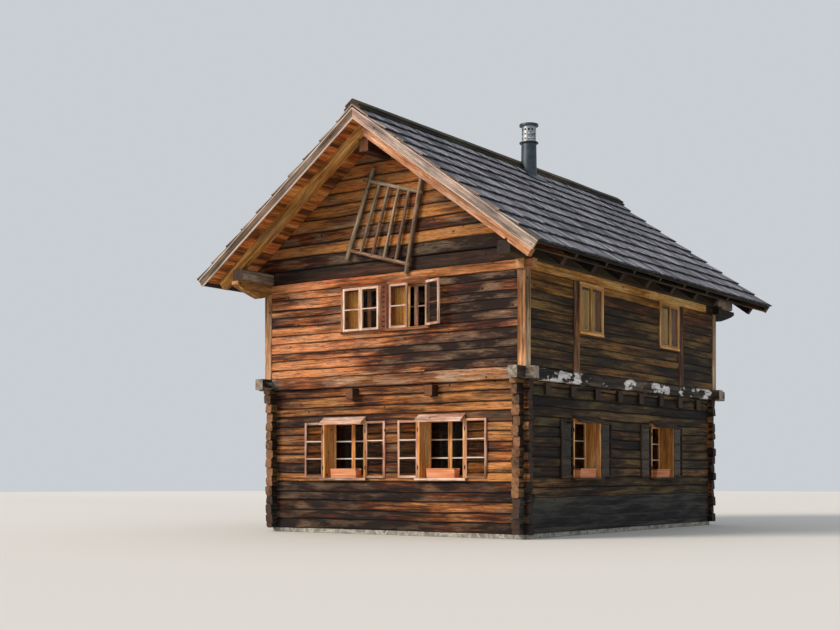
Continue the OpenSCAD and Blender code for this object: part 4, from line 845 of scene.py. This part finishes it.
# %% Line the rooms
hew("plinth", "stone", "stone", "stone", 71, step=0.12, facet=0.004, bevel=0.006)
for i, (node, step) in enumerate((("floors", 1.0), ("lower_lining", 5.0), ("upper_lining", 5.0))):
    hew(node, "lining", "pale_end", "lining", 72 + i, step=step)

# %% [markdown]
# ## Windows
# Below, a box of boards lines the thick wall, with small sashes set deep inside and a second pair
# laid open flat on the logs. Above, sashes close near the face, and one leaf stands open. The bars
# are slender, so a chamfer of 2 mm on every edge is what catches the light. A joiner tenons level
# rails into upright stiles, so the leaves are cut at their stiles and each member gets the fibres
# of its own length.

# %% Box the windows in
SIDE_X, FRONT_Y, BACK_Y = 2.865, -4.05, 3.95   # outer faces of the log walls


def outside(mid):
    """1 for a board outside the front or rear logs, 2 outside the logs of the shaded sides."""
    return 2 if abs(mid[0]) > SIDE_X else int(mid[1] < FRONT_Y or mid[1] > BACK_Y)


# The reveal boards are orange, their own colour brightened with painted light.
hew("lower_casings", "casing", "orange_end", "casing", 81, step=0.3, facet=0.001, bevel=0.003,
    others=[("pale_board", "pale_end"), ("side_board", "dark_end")], choose=outside)

# %% Tell stiles, rails and bars apart
SASH_W = 0.042   # width of the stiles and the rails


def leaves_of(node):
    """Box of each leaf, the axis of its width, how far its stiles reach along it, and its level run."""
    bm = solid(node)
    leaves = []
    for group in pieces_of(bm):
        points = np.array([v.co for v in group])
        size = np.ptp(points, axis=0)
        wide = int(size[1] > size[0])
        flat = min(size[:2]) < 0.05
        run = (1.0 - wide, float(wide), 0.0) if flat else tuple(Vector((size[0], size[1], 0)).normalized())
        leaves.append((points.min(axis=0), points.max(axis=0), wide, SASH_W * run[wide], run))
    bm.free()
    return leaves


def member(leaves, c):
    """The part of its leaf on which a face lies, and the way the fibres run there."""
    for low, high, wide, reach, run in leaves:
        if np.all(c > low - 0.004) and np.all(c < high + 0.004):
            if min(c[wide] - low[wide], high[wide] - c[wide]) < reach + 0.001:
                return "stile", (0, 0, 1)
            return ("rail" if min(c[2] - low[2], high[2] - c[2]) < SASH_W + 0.001 else "bar"), run
    return "stile", (0, 0, 1)


def joinery(node, wood, seed, others, choose):
    """Hews a node of sashes, with upright fibres in the stiles and level ones in rails and bars."""
    leaves = leaves_of(node)
    cuts = {(wide, round(float(edge), 5)) for low, high, wide, reach, run in leaves
            for edge in (low[wide] + reach, high[wide] - reach)}
    hew(node, wood, "orange_end", "sash", seed, step=5.0, bevel=0.002, cuts=sorted(cuts), others=others,
        by_face=True, choose=lambda c: choose(c, member(leaves, c)[0] == "bar"),
        fibres=lambda c: member(leaves, c)[1])


print("leaves of the lower windows", len(leaves_of("lower_sashes")))

# %% Join the sashes and frame the upper windows
TOOTHED_X, TOOTHED_HALF, FRAME_Y = -0.0475, 0.06, (-4.09, 3.99)   # the toothed post, the frames' faces
# The glazing bars are cream: paint for the putty, and a painted highlight where light catches them.
CREAM_HIGHLIT = ("cream_highlit_bar", "orange_end")
joinery("lower_sashes", "casing", 82, [CREAM_HIGHLIT], lambda c, bar: bar)
joinery("lower_casements", "sash", 83, [CREAM_HIGHLIT, ("side_board", "dark_end")],
        lambda c, bar: 2 if abs(c[0]) > 2.8 else bar)
hew("upper_casings", "red_casing", "orange_end", "casing", 84, step=0.3, bevel=0.003, by_face=True,
    others=[("casing", "orange_end"), ("red_board", "dark_end")],
    choose=lambda c: (1 if abs(c[0]) > 2.6 else 2 if abs(c[0] - TOOTHED_X) < TOOTHED_HALF
                      else FRAME_Y[0] < c[1] < FRAME_Y[1]))
joinery("upper_sashes", "ochre_sash", 85, [("pale_board", "orange_end")],
        lambda c, bar: abs(c[1]) > 3.6)

# %% [markdown]
# ## Curtains
# Ochre wool drapes hang in the upper front windows and in some of the lower ones, golden cotton
# behind the upper windows on the right, and plain linen behind those on the left and at the rear. A
# curtain of this kind is a flat cloth, a good third wider than what it covers, gathered on a thin
# brass rod between the jambs. Its folds are tight at the rod and open towards the hem, so each is
# built as a waved sheet whose width along the folds is the width of the flat cloth.

# %% A finish for metals
def metal(title, dark, light, rough):
    """Metal with a dull skin, mottled in soft blotches of about 170 mm."""
    paint, tree, shell = finish(title, {"Metallic": 0.8})
    at = add(tree, "TexCoord").outputs["Object"]
    cloud = add(tree, "TexNoise", {"Vector": at, "Scale": 6.0, "Detail": 5.0})
    tint = add(tree, "ValToRGB", {"Fac": cloud}, stops=[(0.3, dark), (0.7, light)])
    dress(shell, tint, (cloud, rough - 0.08, rough + 0.12))
    return paint


print("metal recipe ready")

# %% The finish of the cloths
def cloth(title, dark, light):
    """Woven cloth. Its threads of 1 mm are too fine to show, so they are drawn as slubs 6 mm wide."""
    paint, tree, shell = finish(title, {"Sheen Weight": 0.25})
    weave = add(tree, "Attribute", attribute_name="grain").outputs["Vector"]
    threads = []
    for scale in ((160.0, 12.0, 1.0), (12.0, 160.0, 1.0)):
        drawn = add(tree, "Mapping", {"Vector": weave, "Scale": scale})
        threads.append(add(tree, "TexNoise", {"Vector": drawn, "Scale": 1.0, "Detail": 3.0}))
    both = add(tree, "Math", {0: threads[0], 1: threads[1]}, operation="ADD")
    tint = add(tree, "ValToRGB", {"Fac": both}, stops=[(0.7, dark), (1.0, light)])
    dress(shell, tint, (threads[0], 0.85, 1.0), (both, 0.3, 0.001))
    return paint


OCHRE = cloth("ochre wool drapes", "#b07a34", "#f0c47c")
LINEN = cloth("natural linen", "#b9ab92", "#e4dac6")
IVORY = cloth("golden ivory cotton", "#e2be68", "#fff0b0")
BRASS = metal("aged brass", "#8a6a2c", "#b8934a", 0.4)
print("cloths", OCHRE.name, "/", LINEN.name, "/", IVORY.name)

# %% Rods and turned pieces
def strips(rows, count, closed=False):
    """Faces between rows of count points each; closed joins the last point of a row to its first."""
    return [[r * count + i, r * count + (i + 1) % count, (r + 1) * count + (i + 1) % count,
             (r + 1) * count + i] for r in range(rows - 1) for i in range(count - (not closed))]


def turned(start, end, profile, sides=14):
    """A turned rod: profile lists (share of the way, radius). Returns points and faces."""
    start, end = np.array(start), np.array(end)
    axis = (end - start) / np.linalg.norm(end - start)
    across = np.cross(axis, (0.31, 0.52, 0.79))
    across /= np.linalg.norm(across)
    third = np.cross(axis, across)
    turns = [math.cos(a) * across + math.sin(a) * third
             for a in np.linspace(0, 2 * math.pi, sides, endpoint=False)]
    points = [start + (end - start) * share + radius * out for share, radius in profile for out in turns]
    caps = [list(range(sides))[::-1], list(range(len(points) - sides, len(points)))]
    return points, strips(len(profile), sides, closed=True) + caps


def join(parts):
    """Makes one list of points and one of faces from several parts."""
    points, faces = [], []
    for some_points, some_faces in parts:
        faces.extend([[len(points) + i for i in f] for f in some_faces])
        points.extend(some_points)
    return points, faces


# The outer face of the upper storey on each wall: its axis, its place and the way inwards.
WALLS = {"front": (1, -4.135, 1), "back": (1, 4.035, -1), "right": (0, 2.95, -1), "left": (0, -2.95, 1)}
LOWER_INSET = 0.09   # the lower storey stands back by this much


def spot(wall, low_storey, u, depth, z):
    """A point of a wall: u along it in the frame, depth inwards from its outer face."""
    axis, face, inwards = WALLS[wall]
    through = face + inwards * LOWER_INSET * low_storey + inwards * depth
    return (u, through, z) if axis else (through, u, z)


print("a point of the front wall", spot("front", True, 0, 0, 1))

# %% Hang one curtain
KNOB = [(0.0, 0.008), (0.012, 0.012), (0.03, 0.007), (0.05, 0.0055), (0.95, 0.0055), (0.97, 0.007),
        (0.988, 0.012), (1.0, 0.008)]
FOLD_W, HEADING = 0.085, 0.008   # width of a fold, and the cloth above its rod
ROD_DEPTH = {False: 0.16, True: 0.20}   # inwards from the wall's face, above and below


def hang(title, wall, low_storey, u0, u1, jambs, top, foot, paint, seed):
    """Hangs one gathered cloth from u0 to u1 on a rod between two jambs."""
    depth = ROD_DEPTH[low_storey]
    rod_points, rod_faces = turned(*(spot(wall, low_storey, jamb, depth, top) for jamb in jambs), KNOB)
    rod = place(title + "_rod", rod_points, rod_faces, [BRASS])
    rng = np.random.default_rng(seed)
    folds = max(3, round((u1 - u0) / FOLD_W))
    across, down = folds * 10 + 1, 22
    share = np.linspace(0, 1, across)
    sway = np.cumsum(rng.uniform(0.7, 1.3, across))
    sway = (sway - sway[0]) / (sway[-1] - sway[0]) * 2 * math.pi * folds
    rows, widths = [], []
    for j in range(down):
        fall = j / (down - 1)
        z = top + HEADING - (top + HEADING - foot) * fall
        deep = (0.008 + 0.017 * fall ** 0.6) * np.sin(sway + 0.25 * math.sin(3 * fall + seed))
        along = u0 + (u1 - u0) * (share + 0.012 * np.sin(sway * 0.5 + 4 * fall) * fall)
        rows.append([spot(wall, low_storey, u, depth + d, z) for u, d in zip(along, deep)])
        widths.append(np.hypot(np.diff(along), np.diff(deep)).sum())
    weave = [(widths[j] * i / across, (top - foot) * j / down, 0)
             for j in range(down) for i in range(across)]
    sheet = place(title, [p for row in rows for p in row], strips(down, across), [paint],
                  grain=np.array(weave))


# %% Hang all curtains
FRONT_X, SIDE_Y = (-0.585, 0.49), (-1.7495, 1.6445)   # middles of the upper openings
ROD_Z, LOW_ROD_Z, HEM_Z, SIDE_HEM_Z, LOW_HEM_Z = 4.52, 2.05, 3.79, 3.735, 1.07
LOW_ONES = [("left", -1.82, 0.48), ("left", 1.415, 0.48), ("back", 1.1, 0.46)]
HUNG = {
    "front_drape": [("front", c, -0.405, -0.06, 0.417, ROD_Z, HEM_Z, OCHRE) for c in FRONT_X],
    "back_curtain": [("back", c, -0.40, 0.40, 0.417, ROD_Z, HEM_Z, LINEN) for c in FRONT_X],
    "side_curtain": [(wall, c, -0.41, 0.41, 0.424, ROD_Z, SIDE_HEM_Z, paint)
                     for wall, paint in (("right", IVORY), ("left", LINEN)) for c in SIDE_Y],
    "low_curtain": [(wall, c, -half, half, half + 0.004, LOW_ROD_Z, LOW_HEM_Z, OCHRE)
                    for wall, c, half in LOW_ONES]}
seed = 101
for name, ones in HUNG.items():
    for i, (wall, c, left, right, jamb, top, foot, paint) in enumerate(ones):
        hang("%s_%d" % (name, i), wall, name == "low_curtain", c + left, c + right, (c - jamb, c + jamb),
             top, foot, paint, seed)
        seed += 1

# %% Forge the hinges of the open casements
IRON = metal("forged iron", "#1c1a19", "#3a3634", 0.6)
KNUCKLE = [(0.0, 0.005), (0.04, 0.008), (0.30, 0.008), (0.33, 0.006), (0.36, 0.008), (0.66, 0.008),
           (0.69, 0.006), (0.72, 0.008), (0.96, 0.008), (1.0, 0.005)]
HINGE_Z, HINGE_H, PROUD = (1.20, 1.88), 0.07, -0.044
CASEMENTS = [("front", -1.03, 0.505), ("front", 1.175, 0.505), ("right", -1.82, 0.525),
             ("right", 1.415, 0.525), ("left", -1.82, 0.525), ("left", 1.415, 0.525), ("back", 1.1, 0.505)]
points, faces = join(
    turned(*(spot(wall, True, centre + hand * (half + 0.001), PROUD, z + rise) for rise in (0, HINGE_H)),
           KNUCKLE, 10)
    for wall, centre, half in CASEMENTS for hand in (-1, 1) for z in HINGE_Z)
place("casement_hinges", points, faces, [IRON])
print("hinge faces", len(faces))

# %% [markdown]
# ## The rear door
# A ledged door: upright boards, nailed on two cross boards at the back, hung on long strap hinges.
# The solid has one slab for the leaf, so here that slab is parted into six boards of its own width,
# and the straps are cut from an outline that narrows to a point, as a smith draws them out.

# %% Part the leaf into boards
door = solid("back_door")
leaf = max(pieces_of(door), key=lambda group: np.prod(np.ptp([v.co.xz for v in group], axis=0)))
(LEFT_X, RIGHT_X), (IN_Y, OUT_Y), (FOOT_Z, HEAD_Z) = [
    (min(v.co[i] for v in leaf), max(v.co[i] for v in leaf)) for i in range(3)]
bmesh.ops.delete(door, geom=leaf, context="VERTS")
rng = np.random.default_rng(86)
cuts = np.cumsum(np.append(0, rng.uniform(0.8, 1.2, 6)))
cuts = LEFT_X + cuts / cuts[-1] * (RIGHT_X - LEFT_X)
for x0, x1 in zip(cuts[:-1], cuts[1:]):
    sunk = rng.uniform(0, 0.004)
    for v in bmesh.ops.create_cube(door, size=1.0)["verts"]:
        v.co = (x0 + 0.002 if v.co.x < 0 else x1 - 0.002, IN_Y if v.co.y < 0 else OUT_Y - sunk,
                FOOT_Z if v.co.z < 0 else HEAD_Z)
hew("back_door", "sash", "brown_end", "casing", 87, step=0.25, facet=0.001, bevel=0.003, bm=door,
    others=[("left_rafter", "brown_end")], choose=lambda mid: not LEFT_X < mid[0] < RIGHT_X)
print("door leaf", round(RIGHT_X - LEFT_X, 3), "by", round(HEAD_Z - FOOT_Z, 3))

# %% Forge the straps
STRAP = [(0.0, 0.020), (0.10, 0.024), (0.45, 0.017), (0.56, 0.012), (0.60, 0.022), (0.63, 0.020),
         (0.68, 0.0015)]   # reach and half width, metres
STUD = [(0.0, 0.008), (0.5, 0.007), (0.85, 0.0045), (1.0, 0.001)]
skin, strap_x = OUT_Y + 0.001, LEFT_X + 0.03


def strap(z):
    """One strap hinge: a tapering bar of 8 mm iron, from its outline."""
    points, faces = [], []
    for reach, half in STRAP:
        for y, wide in ((skin - 0.004, half), (skin + 0.004, half - 0.001)):
            points.extend([(strap_x + reach, y, z - wide), (strap_x + reach, y, z + wide)])
    for a in range(0, 4 * len(STRAP) - 4, 4):
        faces.extend([(a + 2, a + 3, a + 7, a + 6), (a, a + 2, a + 6, a + 4), (a + 3, a + 1, a + 5, a + 7),
                      (a + 1, a, a + 4, a + 5)])
    return points, [*faces, (0, 1, 3, 2), (a + 4, a + 6, a + 7, a + 5)]


ironwork = []
for z in (FOOT_Z + 0.35, HEAD_Z - 0.35):
    ironwork.append(strap(z))
    for x in (strap_x + reach for reach in (0.05, 0.25, 0.42, 0.6)):
        ironwork.append(turned((x, skin + 0.002, z), (x, skin + 0.012, z), STUD, 10))
    pin = strap_x - 0.024, skin + 0.004
    ironwork.append(turned((*pin, z - 0.035), (*pin, z + 0.035), KNUCKLE, 12))
print("strap parts", len(ironwork))

# %% Forge the latch
grip_x, grip_z = RIGHT_X - 0.075, FOOT_Z + 0.98
bow = [(grip_x, skin + 0.004 + 0.038 * math.sin(math.pi * k / 8) ** 0.6, grip_z - 0.065 + 0.13 * k / 8)
       for k in range(9)]
ironwork += [turned(bow[k], bow[k + 1], [(0.0, 0.0065), (1.0, 0.0065)], 10) for k in range(8)]
ironwork += [turned((grip_x, skin - 0.002, grip_z + rise), (grip_x, skin + 0.006, grip_z + rise),
                    [(0.0, 0.022), (0.6, 0.022), (1.0, 0.018)], 20) for rise in (-0.075, 0.075)]
ironwork.append(turned(*((grip_x + x, skin + 0.008, grip_z + 0.125) for x in (-0.03, 0.085)),
                       [(0.0, 0.004), (0.05, 0.007), (0.95, 0.007), (1.0, 0.004)], 10))
points, faces = join(ironwork)
place("door_ironwork", points, faces, [IRON])
print("door ironwork faces", len(faces))

# %% [markdown]
# ## Glass
# Old drawn panes are slightly wavy and a little warm in colour. The panes stay as the CAD has them,
# and only get this finish. A low IOR keeps the curtains behind them bright, as in thin glass.

# %% Glaze the windows
GLASS, tree, shell = finish("old drawn window glass", {
    "Roughness": 0.03, "Transmission Weight": 1.0, "IOR": 1.14, "Specular IOR Level": 0.15})
wave = add(tree, "TexNoise", {"Scale": 2.5, "Detail": 1.0})
dress(shell, linear("#dcd0b8"), bump=(wave, 0.12, 0.01))
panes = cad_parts["window_glass"]
panes.data.materials.clear()
panes.data.materials.append(GLASS)
print("panes", panes.name, GLASS.name)

# %% [markdown]
# ## Window boxes
# Plain terracotta troughs stand on the inner sills, filled with dark soil. The clay is a warm
# orange with chalky blooms where water has dried.

# %% Terracotta and soil
def earthen(title, grit, stops, gloss, bump):
    """Fired clay or soil: its blooms or crumbs, so many a metre, also give the relief."""
    paint, tree, shell = finish(title)
    cloud = add(tree, "TexNoise", grit)
    dress(shell, add(tree, "ValToRGB", {"Fac": cloud}, stops=stops), (cloud, *gloss), (cloud, *bump))
    return paint


WOODS["clay"] = ENDS["clay"] = earthen(
    "weathered terracotta", {"Scale": 7.0, "Detail": 5.0},
    [(0.3, "#a8582e"), (0.5, "#cc8054"), (0.7, "#e6b08c")], (0.65, 0.95), (0.2, 0.002))
SOIL = earthen(
    "dark potting soil", {"Scale": 60.0, "Detail": 6.0},
    [(0.35, "#1c130d"), (0.55, "#37271b"), (0.75, "#5c4634")], (0.85, 1.0), (0.9, 0.004))
hew("window_boxes", "clay", "clay", "box_clay", 91, step=0.15, bevel=0.002)

# %% Fill the boxes with soil
LONG, SHORT = 31, 13   # points of the soil along and across a box
RIM, FILL, HEAP = 0.015, 0.0195, 0.017   # wall of a box, soil below its rim, height of the heap
boxes = solid("window_boxes")
parts = []
for group in pieces_of(boxes):
    corners = np.array([v.co for v in group])
    low, high = corners.min(axis=0), corners.max(axis=0)
    mid, half = (low + high) / 2, (high - low) / 2 - RIM
    lengthways = half[0] > half[1]
    top = []
    for u in np.linspace(-1, 1, LONG):
        for v in np.linspace(-1, 1, SHORT):
            heap = HEAP * (1 - abs(u) ** 10) * (1 - 0.5 * abs(v) ** 4) + 0.0005
            x, y = (u, v) if lengthways else (v, u)
            top.append((mid[0] + x * half[0], mid[1] + y * half[1], high[2] - FILL + heap))
    parts.append((top, [[p, s, r, q][::1 if lengthways else -1] for p, q, r, s in strips(LONG, SHORT)]))
boxes.free()
points, faces = join(parts)
points = np.array(points)
points[:, 2] += ripple(points, (0.05, 0.05, 5.0), 95) * 0.002
place("box_soil", points, faces, [SOIL], slot="box_clay")
print("soil faces", len(faces))

# %% [markdown]
# ## Chimney
# A dark steel pipe with a bright slotted cowl between two dark discs. The pipe is rolled sheet,
# so it stays smooth, and only its finish shows the dull mottling of zinc.

# %% Mix the metals of the chimney
DISC_FOOT, DISC_TOP = 0.021, 0.041   # the dark discs reach this far into the cowl's box
PIPE = metal("dark zinc sheet", "#343b42", "#4d565e", 0.45)
WOODS["pipe"] = ENDS["pipe"] = PIPE
WOODS["bright"] = ENDS["bright"] = metal("bright steel", "#6a6e72", "#adb1b4", 0.35)
hew("chimney_pipe", "pipe", "pipe", "pipe_metal", 92, step=5.0)
low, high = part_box("chimney_cowl")
hew("chimney_cowl", "bright", "bright", "cowl_metal", 93, step=5.0, others=[("pipe", "pipe")], by_face=True,
    choose=lambda c: c[2] < low.z + DISC_FOOT or c[2] > high.z - DISC_TOP)

# %% Flash the pipe to the roof
pipe_x, pipe_y = (low.x + high.x) / 2, (low.y + high.y) / 2
TURN = np.linspace(0, 2 * math.pi, 48, endpoint=False)
COLLAR, SKIRT_X, SKIRT_Y, ROUND = 0.1705, 0.36, 0.30, 8   # radius, half sizes, squareness of the skirt
hoops = []
for lift, widen in ((0.07, 0.0), (0.012, 0.002)):
    r = COLLAR + widen
    hoops.append([np.array(on_slope(1, (pipe_x + r * math.cos(a)) / DOWN.x, -0.004,
                                    pipe_y + r * math.sin(a))) + (0, 0, lift) for a in TURN])
for share, deep in ((0.86, -0.006), (1.0, -0.004), (1.0, 0.010)):
    reach = [share / ((abs(math.cos(a)) / SKIRT_X) ** ROUND + (abs(math.sin(a)) / SKIRT_Y) ** ROUND)
             ** (1 / ROUND) for a in TURN]
    hoops.append([np.array(on_slope(1, pipe_x / DOWN.x + 0.04 + r * math.cos(a), deep,
                                    pipe_y + r * math.sin(a))) for r, a in zip(reach, TURN)])
faces = [face[::-1] for face in strips(len(hoops), len(TURN), closed=True)]
place("pipe_flashing", [p for hoop in hoops for p in hoop], faces, [PIPE], slot="pipe_metal")
print("flashing at", round(pipe_x, 3), round(pipe_y, 3))

# %% [markdown]
# ## Hay rack
# An old rack of peeled poles hangs askew on the gable. Poles are never quite round or straight;
# here their faces get shallow scoops of 2 mm. The solid is one piece with poles that cross, so every
# face takes the fibres of the pole that it lies nearest to.

# %% Find the poles of the rack
low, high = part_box("hay_rack")
RACK_FOOT, RACK_SHARES = 0.008, 0.694   # peg ends below the poles, and the rack's height as shares
share = (high.z - low.z - 0.022) / RACK_SHARES


def rack_spot(x, height):
    """A point of the rack's plane as x and z; height is a share of the gable's height."""
    return np.array((x, low.z + RACK_FOOT + (height + 0.017) * share))


LEFT = rack_spot(-0.25, 0.677), rack_spot(-0.88, 0.115)
RIGHT = rack_spot(0.82, 0.5625), rack_spot(0.48, -0.017)
BARS = [[a + (b - a) * part for a, b in (LEFT, RIGHT)] for part in (0.14, 0.9)]
SPINDLES = [[a + (b - a) * i / 5 for a, b in BARS] for i in range(1, 5)]
POLES = [(*ends, radius) for radius, group in ((0.042, (LEFT, RIGHT)), (0.033, BARS), (0.03, SPINDLES))
         for ends in group]
print("poles", len(POLES))

# %% Dress the rack
def along_pole(c):
    """The way of the pole that lies nearest to a face."""
    here = np.array((c[0], c[2]))

    def apart(pole):
        a, b, radius = pole
        part = np.clip((here - a) @ (b - a) / ((b - a) @ (b - a)), 0, 1)
        return np.linalg.norm(a + (b - a) * part - here) / radius

    a, b, _ = min(POLES, key=apart)
    x, z = (a - b) / np.linalg.norm(a - b)
    return x, 0.0, z


hew("hay_rack", "rack", "pale_end", "rack", 94, step=0.08, facet=0.002, by_face=True, fibres=along_pole)

# %% [markdown]
# ## Size
# Every point of the dressed house is clipped to the box of the carpenter's model, and that box is
# written down here.

# %% Write the box of the frame
print("cad", [round(c, 3) for corner in cad_box for c in corner])
